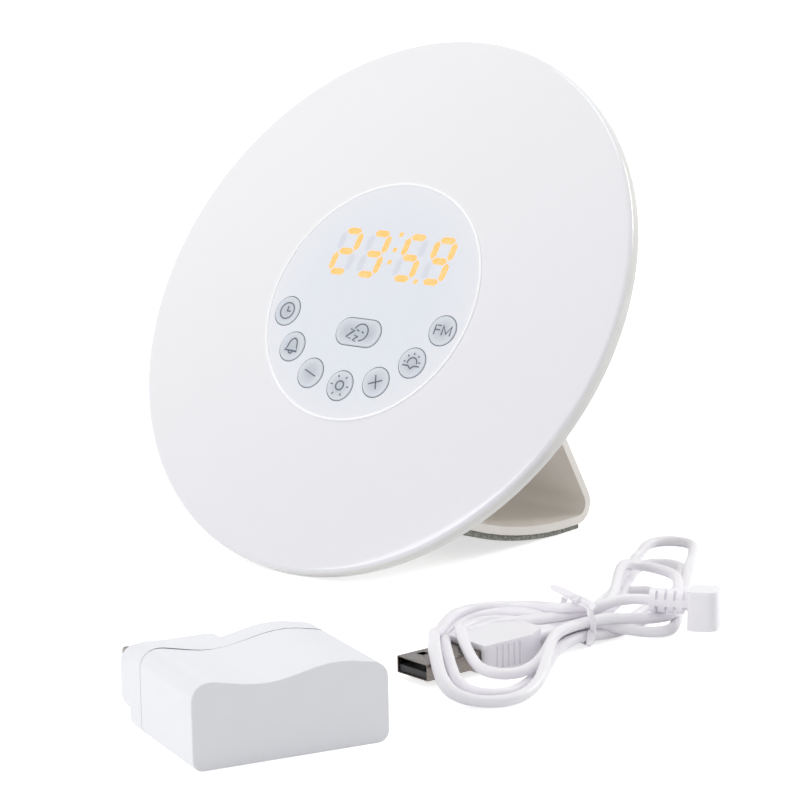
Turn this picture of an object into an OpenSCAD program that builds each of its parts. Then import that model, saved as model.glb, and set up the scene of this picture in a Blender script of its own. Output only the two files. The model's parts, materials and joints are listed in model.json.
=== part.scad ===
// Sunrise alarm clock: a leaning light disc with a control panel in its middle, on a hollow
// wedge stand, with the wall adapter and the power lead that come with it.
//
// Frame: +Z up, the front faces -Y, X to the right as seen from the front. The origin is on the
// table, where the stand's foot pad touches it, in the middle of its width.
// Disc frame, used inside on_disc(): the origin is the middle of the rim's front edge plane,
// z points out of the front and y up along the disc.

/* [Disc] */
// Diameter of the disc over its rim
disc_d = 175; // [165:1:190]
// Angle that the disc leans back from upright
lean = 32; // [29:0.5:35]
// Rise of the front face's middle above the rim's front edge
dome_rise = 3; // [2:0.25:4.5]
// Depth of the front cover's band at the rim
front_band = 3; // [2.6:0.1:3.6]
// Depth of the rear cover's band at the rim
rear_band = 2.4; // [2:0.1:3.2]
// Wall of the front and rear covers
wall = 2.2; // [1.8:0.1:2.4]
// Radius of the rounded rim edges
edge_round = 1.4; // [0.8:0.1:1.8]

/* [Rear housing] */
// Diameter of the raised drum on the back
drum_d = 124; // [122:1:128]
// Depth of the clock from the rim's front edge plane to the drum's back
drum_depth = 26; // [25:0.5:30]
// Length of the shanks of the screws that hold the covers together
housing_screw_shank = 13; // [12.5:0.1:13.4]

/* [Control panel] */
// Diameter of the control panel
panel_d = 77.8; // [76:0.2:80]
// Height of the panel's middle relative to the disc's middle
panel_y = -1.6; // [-2.5:0.1:0]
// Diameter of the round keys
key_d = 9.4; // [8.6:0.1:10]
// How much smaller than the panel's the radius of the round keys' arc is
key_inset = 6.4; // [5.9:0.1:6.9]
// Height of that arc's middle relative to the disc's middle
key_arc_y = 2.8; // [2.4:0.1:3.2]
// Angle between neighbouring round keys
key_step = 23.3; // [22:0.1:24]
// Travel of every key
key_travel = 0.5; // [0.3:0.05:0.6]
// Height of the keys above the panel
key_proud = 0.35; // [0.2:0.05:0.5]
// Gap between a key and the panel round it
key_gap = 0.25; // [0.15:0.01:0.3]
// Width of the snooze key
snooze_w = 17; // [15:0.5:18]
// Height of the snooze key
snooze_h = 8.7; // [8:0.1:9.5]
// Height of the snooze key's middle relative to the disc's middle
snooze_y = -12.4; // [-13:0.1:-12]

/* [Display] */
// Height of a digit
digit_h = 15.9; // [14:0.1:16.4]
// Width of a digit over its segments
digit_w = 8.7; // [8:0.1:9.2]
// Distance between the two digits of a pair
digit_pitch = 11.2; // [10.8:0.1:11.6]
// Distance between the middles of the two pairs
pair_pitch = 25.4; // [24.5:0.1:26]
// Width of a segment
segment_w = 2.2; // [1.8:0.1:2.4]
// Slant of the digits
digit_slant = 4; // [0:0.5:8]
// Sideways place of the display's middle
display_x = 2.1; // [0:0.1:3]
// Height of the display's middle relative to the disc's middle
display_y = 13.1; // [12.5:0.1:14]

/* [Speaker and power] */
// Diameter of the speaker
speaker_d = 36; // [32:1:38]
// Number of rings of holes in the speaker grille, round the middle one
grille_rings = 4; // [2:1:4]
// Diameter of a grille hole
grille_hole_d = 1.8; // [1.2:0.1:2]
// Diameter of the backup cell
cell_d = 20; // [19:0.5:20.5]
// Thickness of the backup cell
cell_t = 3.2; // [2.5:0.1:3.4]
// Diameter of the battery door
door_d = 25; // [24:0.2:25.6]
// Turn that frees the battery door's lugs
door_turn = 30; // [26:1:40]
// Bore of the power socket
jack_bore_d = 3.8; // [3.6:0.1:4.2]

/* [Stand] */
// Width of the stand
stand_w = 72; // [66:1:78]
// Wall of the stand's hollow wedge
stand_t = 2.6; // [2.2:0.1:3]
// Distance from the disc's contact with the table to the foot pad's contact
foot_reach = 91; // [89:0.5:94]
// Angle that the stand's rear leg leans forward
leg_lean = 31; // [30:0.5:33]
// Distance of the heel behind the foot pad's contact
heel_reach = 14.2; // [13:0.1:16]
// Radius that the foot is curved to from front to back
foot_curve_r = 150; // [140:1:170]
// Thickness of the foot pad
pad_t = 1.8; // [1.2:0.1:2.2]

/* [Wall adapter] */
// Width of the adapter
adapter_w = 51.5; // [48:0.5:56]
// Length of the adapter's case without its plug block
adapter_l = 41; // [40:0.5:50]
// Height of the adapter
adapter_h = 22; // [20:0.5:24]
// Wall of the adapter's case
adapter_wall = 1.8; // [1.4:0.1:2]
// Distance between the adapter's two blades
blade_pitch = 12.7; // [12.5:0.1:12.9]

/* [Power lead] */
// Diameter of the cord
cord_d = 3; // [2.6:0.1:3.2]
// Width of the USB plug's metal shell
usb_w = 12; // [11.8:0.1:12.2]
// Height of the USB plug's metal shell
usb_h = 4.5; // [4.3:0.1:4.7]

/* [Hidden] */
$fn = 96;

fit_gap = 0.15;     // gap round a piece that is fitted and stays still
turn_gap = 0.2;     // gap round a piece that turns
seat_gap = 0.3;     // gap that keeps stacked inner pieces off each other
rim_r = disc_d / 2;
drum_r = drum_d / 2;
panel_r = panel_d / 2;
key_arc_r = panel_r - key_inset;             // radius of the arc that the round keys stand on
back_z = -drum_depth;
back_inner_z = back_z + wall;

// Levels of the inner plates, in the disc frame
board_z = -6;                                // front face of the switch board
board_t = 1.6;
chassis_z = board_z - board_t - 2;           // front face of the chassis plate
chassis_t = 1.6;
chassis_back_z = chassis_z - chassis_t;
chassis_r = drum_r;

// Height of the front face over the rim's front edge plane, at radius r.
function dome(r) = dome_rise * (1 - pow(r / rim_r, 2));

// Points of an arc about c, from angle a0 to a1.
function arc(c, r, a0, a1, n) =
    [for (i = [0 : n]) c + r * [cos(a0 + (a1 - a0) * i / n), sin(a0 + (a1 - a0) * i / n)]];

// Unit vector from a to b.
function toward(a, b) = (b - a) / norm(b - a);

// The outline through points, with corner i rounded to radii[i]; a radius of 0 keeps it sharp.
function rounded(points, radii, n = 6) = [
    for (i = [0 : len(points) - 1])
        let (
            p = points[i],
            a = toward(p, points[(i + len(points) - 1) % len(points)]),
            b = toward(p, points[(i + 1) % len(points)]),
            half = acos(max(-1, min(1, a * b))) / 2,
            r = radii[i],
            c = p + toward([0, 0], a + b) * r / sin(half),
            start = c - p - a * (r / tan(half)),
            end = c - p - b * (r / tan(half)),
            a0 = atan2(-start.y, -start.x),
            turn = atan2(-end.y, -end.x) - a0,
            sweep = turn > 180 ? turn - 360 : turn < -180 ? turn + 360 : turn
        )
            each r == 0 ? [p] : arc(c, r, a0, a0 + sweep, n)
];

// The closed outline moved inwards by t; its points run anticlockwise.
function inset(points, t) = [
    for (i = [0 : len(points) - 1])
        let (
            p = points[i],
            a = toward(points[(i + len(points) - 1) % len(points)], p),
            b = toward(p, points[(i + 1) % len(points)]),
            na = [-a.y, a.x],
            nb = [-b.y, b.x]
        )
            p + (na + nb) * t / (1 + na * nb)
];

// Place of the disc: its rim's rear edge rests on the table, foot_reach in front of the origin.
rim_turn_z = -front_band - rear_band + edge_round;   // middle of the rear edge's rounding
disc_z = (rim_r - edge_round) * cos(lean) - rim_turn_z * sin(lean) + edge_round;
disc_y = -foot_reach + (rim_r - edge_round) * sin(lean) + rim_turn_z * cos(lean);

module on_disc() {
    translate([0, disc_y, disc_z]) rotate([90 - lean, 0, 0]) children();
}

// A point of the disc frame's y-z plane, in the frame's own y and z.
function from_disc(y, z) = [
    disc_y + y * sin(lean) - z * cos(lean),
    disc_z + y * cos(lean) + z * sin(lean)
];

// A ring or disc between two radii, from z0 up to z1.
module ring(r_out, r_in, z0, z1) {
    translate([0, 0, z0]) difference() {
        cylinder(r = r_out, h = z1 - z0);
        if (r_in > 0) translate([0, 0, -1]) cylinder(r = r_in, h = z1 - z0 + 2);
    }
}

// ---- Front cover: the milky domed face that the light shines through ----
dome_steps = 14;
face_r = rim_r - edge_round;                 // where the face turns into the rim
skirt_r = rim_r - wall;                      // inner radius of the cover's skirt

module front_cover() {
    outer = concat(
        [for (i = [0 : dome_steps]) [face_r * i / dome_steps, dome(face_r * i / dome_steps)]],
        arc([face_r, dome(face_r) - edge_round], edge_round, 75, 0, 5),
        [[rim_r, -front_band]]
    );
    inner = concat(
        [[skirt_r, -front_band]],
        [for (i = [dome_steps : -1 : 0]) [skirt_r * i / dome_steps, dome(skirt_r * i / dome_steps) - wall]]
    );
    color([0.95, 0.95, 0.97]) on_disc() difference() {
        rotate_extrude($fn = 180) polygon(concat(outer, inner));
        translate([0, panel_y, -wall]) cylinder(r = panel_r + fit_gap, h = dome_rise + 2 * wall);
    }
}

// ---- Rear cover ----
rear_r = rim_r - 0.1;                        // a hair under the front cover, so the joint shows
rear_turn_z = -front_band - rear_band;
shoulder_r = drum_r + 3;                     // where the cone meets the drum
shoulder_z = -drum_depth / 2;
back_round = 2;
lip_gap = 0.15;
lip_r = skirt_r - lip_gap;
lip_t = 1.6;
lip_top_z = dome(skirt_r) - wall - lip_gap;  // the lip ends under the front cover's inner face
cone_in_r = lip_r - lip_t;                   // inner edge of the cone
cone_in_z = rear_turn_z + wall / 3;
drum_in_r = drum_r - wall;
shoulder_in_z = shoulder_z + wall * 0.9;

boss_r = 3.5;
housing_at = [for (a = [45 : 90 : 315]) 52 * [cos(a), sin(a)]];
housing_hole_r = 1.6;
head_seat_z = back_z + 2.4;                  // floor of the counterbores of the housing screws
head_r = 2.75;
stand_screw_at = [for (x = [-24, 24], y = [-12, -44]) [x, y]];
stand_boss_top = back_z + 8.5;
stand_hole_r = 1.6;

speaker_at = [0, 31];
speaker_r = speaker_d / 2;
speaker_lip_h = 3;
grille_pitch = 3.4;
grille_hole_r = grille_hole_d / 2;

cell_at = [-38, 17];
cell_r = cell_d / 2;
door_r = door_d / 2;
door_t = 2;
lug_reach = 1.4;                             // how far the door's lugs stand out
lug_angle = 12;
lug_t = 1;
lug_gap = 0.1;
chamber_r = door_r + lug_reach + 0.3;        // room in which the lugs turn
chamber_top = back_inner_z + lug_t + 2 * lug_gap;
cup_wall = 1.2;
cell_z = chamber_top + 0.1;
cup_floor_z = cell_z + cell_t + 0.2;

jack_at = [46, -14];
jack_nose_r = 3.6;

// A sector of a ring, centred on angle a.
module sector(r_out, r_in, a, span, z0, z1) {
    intersection() {
        ring(r_out, r_in, z0, z1);
        rotate([0, 0, a - span / 2]) rotate_extrude(angle = span) translate([r_in / 2, z0 - 1])
            square([r_out, z1 - z0 + 2]);
    }
}

module rear_shell() {
    outer = concat(
        [[0, back_z], [drum_r - back_round, back_z]],
        arc([drum_r - back_round, back_z + back_round], back_round, -75, 0, 5),
        [[drum_r, shoulder_z - 2], [drum_r + 1, shoulder_z - 0.6], [shoulder_r, shoulder_z]],
        arc([rear_r - edge_round, rim_turn_z], edge_round, -60, 0, 5),
        [[rear_r, -front_band]]
    );
    inner = [
        [lip_r, -front_band], [lip_r, lip_top_z],
        [cone_in_r, lip_top_z], [cone_in_r, cone_in_z],
        [shoulder_r - wall / 2, shoulder_in_z], [drum_in_r, shoulder_in_z - 1.6],
        [drum_in_r, back_inner_z], [0, back_inner_z]
    ];
    rotate_extrude($fn = 180) polygon(concat(outer, inner));
}

module grille_holes() {
    for (k = [0 : grille_rings], i = [0 : max(0, 6 * k - 1)])
        let (a = 360 * i / max(1, 6 * k))
            translate([k * grille_pitch * cos(a), k * grille_pitch * sin(a), back_z - 1])
                cylinder(r = grille_hole_r, h = wall + 2, $fn = 24);
}

module rear_cover() {
    color([0.93, 0.93, 0.93]) on_disc() difference() {
        union() {
            rear_shell();
            for (p = housing_at) translate([p.x, p.y, back_inner_z - wall / 2])
                cylinder(r = boss_r, h = chassis_back_z - back_inner_z + wall / 2, $fn = 48);
            for (p = stand_screw_at) translate([p.x, p.y, back_inner_z - wall / 2])
                cylinder(r = boss_r, h = stand_boss_top - back_inner_z + wall / 2, $fn = 48);
            translate([speaker_at.x, speaker_at.y, 0])
                ring(speaker_r + fit_gap + 1.4, speaker_r + fit_gap, back_inner_z - 0.2,
                     back_inner_z + speaker_lip_h);
            translate([cell_at.x, cell_at.y, 0])
                ring(chamber_r + cup_wall, 0, back_inner_z - 0.2, cup_floor_z + cup_wall);
        }
        for (p = housing_at) translate([p.x, p.y, 0]) {
            translate([0, 0, back_z - 1]) cylinder(r = housing_hole_r, h = drum_depth, $fn = 48);
            translate([0, 0, back_z - 1])
                cylinder(r = head_r + fit_gap, h = head_seat_z - back_z + 1, $fn = 48);
        }
        for (p = stand_screw_at) translate([p.x, p.y, back_z - 1])
            cylinder(r = stand_hole_r, h = stand_boss_top - back_z - 1, $fn = 48);
        translate([speaker_at.x, speaker_at.y, 0]) grille_holes();
        translate([jack_at.x, jack_at.y, back_z - 1])
            cylinder(r = jack_nose_r + fit_gap, h = wall + 2, $fn = 48);
        translate([cell_at.x, cell_at.y, 0]) {
            ring(chamber_r, 0, back_inner_z, chamber_top);
            ring(cell_r + 0.3, 0, chamber_top - 1, cup_floor_z);
            ring(door_r + turn_gap, 0, back_z - 1, back_inner_z + 1);
            for (a = [0, 180]) sector(chamber_r, door_r - 1, a + door_turn, lug_angle + 4,
                                      back_z - 1, back_inner_z + 1);
        }
    }
}

// ---- Control panel ----
key_r = key_d / 2;
key_hole_r = key_r + key_gap;
snooze_r = snooze_h / 2;
snooze_half = snooze_w / 2 - snooze_r;       // from the key's middle to the middle of its round end
tub_r = panel_r + 2;
tub_top_z = dome(tub_r - panel_y) - wall;    // the tub meets the cover's inner face here
panel_back_z = tub_top_z;
panel_top = dome(-panel_y);

function panel_dome(r) = panel_top - dome_rise * pow(r / rim_r, 2);

module panel_blank() {
    steps = 8;
    bead = 0.5;                              // the bright bead along the panel's edge
    flat_r = panel_r - bead;
    translate([0, panel_y, 0]) rotate_extrude($fn = 180) polygon(concat(
        [[0, panel_back_z]],
        [for (i = [0 : steps]) [flat_r * i / steps, panel_dome(flat_r * i / steps)]],
        arc([panel_r - bead / 2, panel_dome(flat_r)], bead / 2, 150, 0, 5),
        [[panel_r, panel_back_z]]
    ));
}

// A key's outline, grown by extra: a disc, or a slot when half is over 0.
module key_shape(r, half, z0, z1) {
    translate([0, 0, z0]) if (half > 0) {
        for (s = [-1, 1]) translate([s * half, 0, 0]) cylinder(r = r, h = z1 - z0, $fn = 64);
        translate([-half, -r, 0]) cube([2 * half, 2 * r, z1 - z0]);
    } else {
        cylinder(r = r, h = z1 - z0, $fn = 64);
    }
}

// Place of round key i, counted from -3 at the left to 3 at the right.
function key_at(i) =
    [key_arc_r * sin(i * key_step), key_arc_y - key_arc_r * cos(i * key_step)];

module control_panel() {
    color([0.92, 0.93, 0.95]) on_disc() difference() {
        panel_blank();
        for (i = [-3 : 3]) translate(key_at(i)) key_shape(key_hole_r, 0, -1, dome_rise + 1);
        translate([0, snooze_y, 0]) key_shape(snooze_r + key_gap, snooze_half, -1, dome_rise + 1);
        all_segments(-1, dome_rise + 1);
    }
}

// ---- Display: light guides that end flush in the panel, on a module behind it ----
digit_x = [
    display_x - pair_pitch / 2 - digit_pitch / 2, display_x - pair_pitch / 2 + digit_pitch / 2,
    display_x + pair_pitch / 2 - digit_pitch / 2, display_x + pair_pitch / 2 + digit_pitch / 2
];
segment_gap = 0.35;
segment_l = digit_w - segment_w;             // between the middles of the upright segments
segment_v = (digit_h - segment_w) / 2;       // between the middles of the level segments
// Segment a at the top, then clockwise b to f, and g in the middle: [x, y, 1 when upright]
SEGMENTS = [
    [0, segment_v, 0], [segment_l / 2, segment_v / 2, 1], [segment_l / 2, -segment_v / 2, 1],
    [0, -segment_v, 0], [-segment_l / 2, -segment_v / 2, 1], [-segment_l / 2, segment_v / 2, 1],
    [0, 0, 0]
];
// Which segments light up for the digits 2, 3, 5 and 9
LIT = [[1, 1, 0, 1, 1, 0, 1], [1, 1, 1, 1, 0, 0, 1], [1, 0, 1, 1, 0, 1, 1], [1, 1, 1, 1, 0, 1, 1]];
colon_x = display_x + 0.1;
// Dots of the colon, the mark over it and the point after the third digit
DOTS = [[colon_x, 2.05], [colon_x, -2.05], [colon_x, 7.2], [digit_x[2] + 5.6, -7.3]];
dot_w = 1.5;

module slanted() {
    multmatrix([[1, tan(digit_slant), 0, 0], [0, 1, 0, 0], [0, 0, 1, 0], [0, 0, 0, 1]]) children();
}

function slant_x(y) = y * tan(digit_slant);

// Outline of a segment with mitred ends, sheared by the slant.
function segment_points(at, upright, x0) =
    let (
        l = (upright == 1 ? segment_v : segment_l) / 2 - segment_gap,
        w = segment_w / 2,
        flat = [[-l, 0], [-l + w, -w], [l - w, -w], [l, 0], [l - w, w], [-l + w, w]]
    )
        [for (p = flat)
            let (q = upright == 1 ? [-p.y, p.x] : p, x = at.x + q.x, y = at.y + q.y)
                [x0 + x + slant_x(y), display_y + y]];

function dot_points(at) =
    [for (c = [[-1, -1], [1, -1], [1, 1], [-1, 1]])
        let (y = at.y + c.y * dot_w / 2)
            [at.x + c.x * dot_w / 2 + slant_x(y), display_y + y]];

module segments(lit, z0, z1) {
    translate([0, 0, z0]) linear_extrude(z1 - z0) for (d = [0 : 3], s = [0 : 6])
        if (LIT[d][s] == lit)
            polygon(segment_points([SEGMENTS[s].x, SEGMENTS[s].y], SEGMENTS[s].z, digit_x[d]));
}

module dots(z0, z1) {
    translate([0, 0, z0]) linear_extrude(z1 - z0) for (p = DOTS) polygon(dot_points(p));
}

module all_segments(z0, z1) {
    segments(0, z0, z1);
    segments(1, z0, z1);
    dots(z0, z1);
}

module_size = [50.3, 19];
module_top_z = panel_back_z - seat_gap;

module display_lit() {
    color([1, 0.75, 0.3]) on_disc() intersection() {
        panel_blank();
        union() {
            segments(1, -1, dome_rise + 1);
            dots(-1, dome_rise + 1);
        }
    }
}

module display_unlit() {
    color([0.8, 0.8, 0.85]) on_disc() intersection() {
        panel_blank();
        segments(0, -1, dome_rise + 1);
    }
}

module display_module() {
    color([0.2, 0.2, 0.22]) on_disc()
        translate([display_x - module_size.x / 2, display_y - module_size.y / 2, board_z])
            cube([module_size.x, module_size.y, module_top_z - board_z]);
}

// ---- Keys: a cap in the panel, a flange behind it and a stem over its switch ----
flange_reach = 0.8;
flange_t = 0.8;
flange_top_z = panel_back_z - 0.1;
switch_body = [6, 6, 3.2];
plunger_r = 1.7;
plunger_h = 0.8;
plunger_top_z = board_z + switch_body.z + plunger_h;
stem_r = 1.5;
stem_gap = 0.1;                              // left between stem and plunger when the key is down
stem_end_z = plunger_top_z + key_travel + stem_gap;

module key_body(at, r, half) {
    top = panel_dome(norm(at - [0, panel_y])) + key_proud;
    bevel = 0.3;
    color([0.8, 0.82, 0.85]) on_disc() translate([at.x, at.y, 0]) {
        key_shape(r - bevel, half, top - 2 * bevel, top);
        key_shape(r, half, flange_top_z - 0.2, top - bevel);
        key_shape(r + flange_reach, half, flange_top_z - flange_t, flange_top_z);
        translate([0, 0, stem_end_z])
            cylinder(r = stem_r, h = flange_top_z - stem_end_z - flange_t / 2, $fn = 32);
    }
}

module key_clock() { key_body(key_at(-3), key_r, 0); }
module key_alarm() { key_body(key_at(-2), key_r, 0); }
module key_minus() { key_body(key_at(-1), key_r, 0); }
module key_light() { key_body(key_at(0), key_r, 0); }
module key_plus() { key_body(key_at(1), key_r, 0); }
module key_sunrise() { key_body(key_at(2), key_r, 0); }
module key_radio() { key_body(key_at(3), key_r, 0); }
module key_snooze() { key_body([0, snooze_y], snooze_r, snooze_half); }

// ---- Panel tub, chassis and the boards ----
tub_wall = 2;
tub_in_r = tub_r - tub_wall;
board_screw_inset = 4.9;                     // from the tub's wall to the side screws
board_screw_at = [
    [board_screw_inset - tub_in_r, 1], [tub_in_r - board_screw_inset, 1], [0, 30.5], [0, -21]
];
light_board_t = 1.2;
main_board_z = chassis_back_z - 2;           // front face of the main board
main_board_low = [-30, -26];
main_board_high = [50, 4];

module panel_tub() {
    color([0.97, 0.97, 0.97]) on_disc() translate([0, panel_y, 0])
        rotate_extrude($fn = 128) polygon([
            [panel_r - 1.2, tub_top_z], [tub_r, tub_top_z], [tub_r, chassis_z],
            [tub_in_r, chassis_z], [tub_in_r, tub_top_z - 1.4], [panel_r - 1.2, tub_top_z - 1.4]
        ]);
}

module switch_board() {
    color([0.1, 0.4, 0.25]) on_disc() difference() {
        translate([0, panel_y, 0]) ring(tub_in_r - seat_gap, 0, board_z - board_t, board_z);
        for (p = board_screw_at) translate([p.x, p.y, board_z - board_t - 1])
            cylinder(r = 1.15, h = board_t + 2, $fn = 24);
    }
}

module one_switch(at) {
    translate([at.x, at.y, board_z]) {
        translate([-switch_body.x / 2, -switch_body.y / 2, 0]) cube(switch_body);
        cylinder(r = plunger_r, h = switch_body.z + plunger_h, $fn = 32);
    }
}

module key_switches() {
    color([0.15, 0.15, 0.16]) on_disc() {
        for (i = [-3 : 3]) one_switch(key_at(i));
        one_switch([0, snooze_y]);
    }
}

module board_screws() {
    color("silver") on_disc() for (p = board_screw_at) translate([p.x, p.y, 0]) {
        ring(1.9, 0, board_z, board_z + 1.3);
        ring(1, 0, chassis_z - chassis_t, board_z + 0.5);
    }
}

module chassis() {
    color([0.9, 0.9, 0.9]) on_disc() difference() {
        union() {
            ring(chassis_r, 0, chassis_back_z, chassis_z);
            for (p = board_screw_at) translate([p.x, p.y, 0])
                ring(2.6, 0, chassis_z - 0.5, board_z - board_t);
            for (p = main_board_posts) translate([p.x, p.y, 0])
                ring(2.6, 0, main_board_z, chassis_back_z + 0.5);
        }
        for (p = board_screw_at) translate([p.x, p.y, chassis_back_z - 1])
            cylinder(r = 1.05, h = 6, $fn = 24);
        for (p = housing_at) translate([p.x, p.y, chassis_back_z - 1])
            cylinder(r = 1.55, h = chassis_t + 2, $fn = 24);
    }
}

main_board_posts = [
    main_board_low + [4, 4], [main_board_low.x + 4, main_board_high.y - 4],
    [main_board_high.x - 16, main_board_low.y + 4], [main_board_high.x - 16, main_board_high.y - 4]
];

// The ring of light, just outside the panel tub.
light_board_in = tub_r - panel_y + 0.5;
light_board_out = chassis_r - 2.2;
led_r = (light_board_in + light_board_out) / 2;
led_count = 24;
led_w = 5;
led_h = 1.6;

module light_board() {
    color([0.96, 0.96, 0.96]) on_disc()
        ring(light_board_out, light_board_in, chassis_z, chassis_z + light_board_t);
}

module light_leds() {
    color([1, 0.95, 0.7]) on_disc() for (i = [0 : led_count - 1])
        rotate([0, 0, i * 360 / led_count]) translate([led_r, 0, chassis_z + light_board_t + led_h / 2])
            cube([led_w, led_w, led_h], center = true);
}

module reflector() {
    foot_in = light_board_out + 0.1;
    edge_r = cone_in_r - 0.2;
    edge_z = cone_in_z + 0.1;
    color([0.98, 0.98, 0.98]) on_disc() rotate_extrude($fn = 128) polygon([
        [foot_in, chassis_z], [chassis_r, chassis_z], [edge_r, edge_z], [edge_r, edge_z + 1],
        [chassis_r - 0.8, chassis_z + 1], [foot_in, chassis_z + 1]
    ]);
}

module main_board() {
    color([0.1, 0.4, 0.25]) on_disc()
        translate([main_board_low.x, main_board_low.y, main_board_z - board_t])
            cube([main_board_high.x - main_board_low.x, main_board_high.y - main_board_low.y, board_t]);
}

// Parts under the main board: size and place of the block-shaped ones, then the capacitors'
controller = [10, 10, 1.6];
controller_at = [-6, -12];
radio_chip = [6, 5, 1.4];
radio_chip_at = [12, -8];
crystal = [8, 3, 2.5];
crystal_at = [10, -18];
small_can_r = 2.5;
small_can_h = 6;
small_can_at = [-14, -8];
large_can_r = 3.2;
large_can_h = 7;
large_can_at = [30, -8];

module board_parts() {
    z = main_board_z - board_t;
    color([0.15, 0.15, 0.17]) on_disc() {
        translate([controller_at.x, controller_at.y, z - controller.z]) cube(controller);
        translate([radio_chip_at.x, radio_chip_at.y, z - radio_chip.z]) cube(radio_chip);
        translate([crystal_at.x, crystal_at.y, z - crystal.z]) cube(crystal);
        translate([small_can_at.x, small_can_at.y, z - small_can_h])
            cylinder(r = small_can_r, h = small_can_h, $fn = 32);
        translate([large_can_at.x, large_can_at.y, z - large_can_h])
            cylinder(r = large_can_r, h = large_can_h, $fn = 32);
    }
}

// ---- Power socket ----
jack_body = [8, 7];
jack_top_z = main_board_z - board_t;
jack_mouth_z = back_z + 0.6;
jack_bore_depth = 8;

module power_socket() {
    color([0.12, 0.12, 0.13]) on_disc() translate([jack_at.x, jack_at.y, 0]) difference() {
        union() {
            translate([-jack_body.x / 2, -jack_body.y / 2, back_inner_z])
                cube([jack_body.x, jack_body.y, jack_top_z - back_inner_z]);
            ring(jack_nose_r, 0, jack_mouth_z, back_inner_z + 0.5);
        }
        translate([0, 0, jack_mouth_z - 1])
            cylinder(r = jack_bore_d / 2, h = jack_bore_depth + 1, $fn = 48);
    }
}

module socket_pin() {
    color("silver") on_disc() translate([jack_at.x, jack_at.y, 0])
        ring(0.6, 0, jack_mouth_z + 1, jack_mouth_z + jack_bore_depth);
}

// ---- Speaker ----
basket_h = 5.5;
magnet_r = 10;
magnet_h = 4.5;

module speaker_basket() {
    color([0.3, 0.3, 0.32]) on_disc() translate([speaker_at.x, speaker_at.y, 0])
        rotate_extrude($fn = 96) polygon([
            [speaker_r - 2.5, back_inner_z], [speaker_r, back_inner_z],
            [speaker_r, back_inner_z + 1.5], [magnet_r + 1, back_inner_z + basket_h],
            [0, back_inner_z + basket_h], [0, back_inner_z + basket_h - 1],
            [magnet_r, back_inner_z + basket_h - 1], [speaker_r - 2.5, back_inner_z + 1.2]
        ]);
}

module speaker_cone() {
    rim = speaker_r - 2.5;
    color([0.1, 0.1, 0.1]) on_disc() translate([speaker_at.x, speaker_at.y, 0])
        rotate_extrude($fn = 96) polygon([
            [0, back_inner_z + 2.4], [4, back_inner_z + 2.4], [rim, back_inner_z + 0.4],
            [rim, back_inner_z + 0.9], [5, back_inner_z + 3], [5, back_inner_z + basket_h - 1],
            [4, back_inner_z + basket_h - 1], [4, back_inner_z + 2.9], [0, back_inner_z + 2.9]
        ]);
}

module speaker_magnet() {
    color([0.5, 0.5, 0.52]) on_disc() translate([speaker_at.x, speaker_at.y, 0])
        ring(magnet_r, 0, back_inner_z + basket_h, back_inner_z + basket_h + magnet_h);
}

module speaker_wires() {
    start_z = back_inner_z + basket_h + 0.6;
    top_z = main_board_z - board_t - 0.6;
    wire_r = 0.6;
    color("red") on_disc() for (x = [-3, 3]) {
        y0 = speaker_at.y - magnet_r - wire_r - 0.2;
        y1 = main_board_high.y - 3;
        translate([x, y0, start_z]) cylinder(r = wire_r, h = top_z - start_z, $fn = 16);
        translate([x, y0, top_z]) sphere(r = wire_r, $fn = 16);
        translate([x, y1, top_z]) rotate([-90, 0, 0]) cylinder(r = wire_r, h = y0 - y1, $fn = 16);
    }
}

// ---- Backup cell ----
module backup_cell() {
    color("silver") on_disc() translate([cell_at.x, cell_at.y, 0])
        ring(cell_r, 0, cell_z, cell_z + cell_t);
}

module cell_contacts() {
    color([0.8, 0.7, 0.4]) on_disc() translate([cell_at.x, cell_at.y, 0])
        ring(4, 2.5, cell_z + cell_t, cup_floor_z);
}

module battery_door() {
    color([0.93, 0.93, 0.93]) on_disc() translate([cell_at.x, cell_at.y, 0]) difference() {
        union() {
            ring(door_r, 0, back_z, back_inner_z + lug_gap + lug_t);
            for (a = [0, 180]) sector(door_r + lug_reach, door_r - 1, a, lug_angle,
                                      back_inner_z + lug_gap, back_inner_z + lug_gap + lug_t);
        }
        translate([-7, -0.8, back_z - 1]) cube([14, 1.6, 1 + door_t / 2]);   // coin slot
    }
}

screw_r = 1.5;
screw_head_h = 1.9;
screw_cross_l = 3.2;                         // length, width and depth of the cross in a screw's head
screw_cross_w = 0.7;
screw_cross_h = 0.9;

// A screw whose head, of radius r, seats at z and whose shank ends at tip.
module screw(r, z, tip) {
    difference() {
        union() {
            ring(r, 0, z - screw_head_h, z);
            ring(screw_r, 0, z - screw_head_h / 4, tip);
        }
        for (a = [0, 90]) rotate([0, 0, a])
            translate([-screw_cross_l / 2, -screw_cross_w / 2, z - screw_head_h - 1])
                cube([screw_cross_l, screw_cross_w, screw_cross_h + 1]);
    }
}

module housing_screws() {
    color("silver") on_disc() for (p = housing_at) translate([p.x, p.y, 0])
        screw(head_r, head_seat_z, head_seat_z + housing_screw_shank);
}

// ---- Stand: a hollow wedge bent from one band, its front side screwed to the drum ----
// Its outline in the y-z plane: up the drum's back from front_low to apex, down the leg to the heel.
foot_r = foot_curve_r - pad_t;               // radius of the stand's own underside
foot_sink = 0.12;                            // the pad is pressed flat by this much
foot_mid_z = foot_curve_r - foot_sink;
function foot_under(y) = foot_mid_z - sqrt(foot_r * foot_r - y * y);
back_plane_y = from_disc(0, back_z).x;
back_plane_z = from_disc(0, back_z).y;
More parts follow.
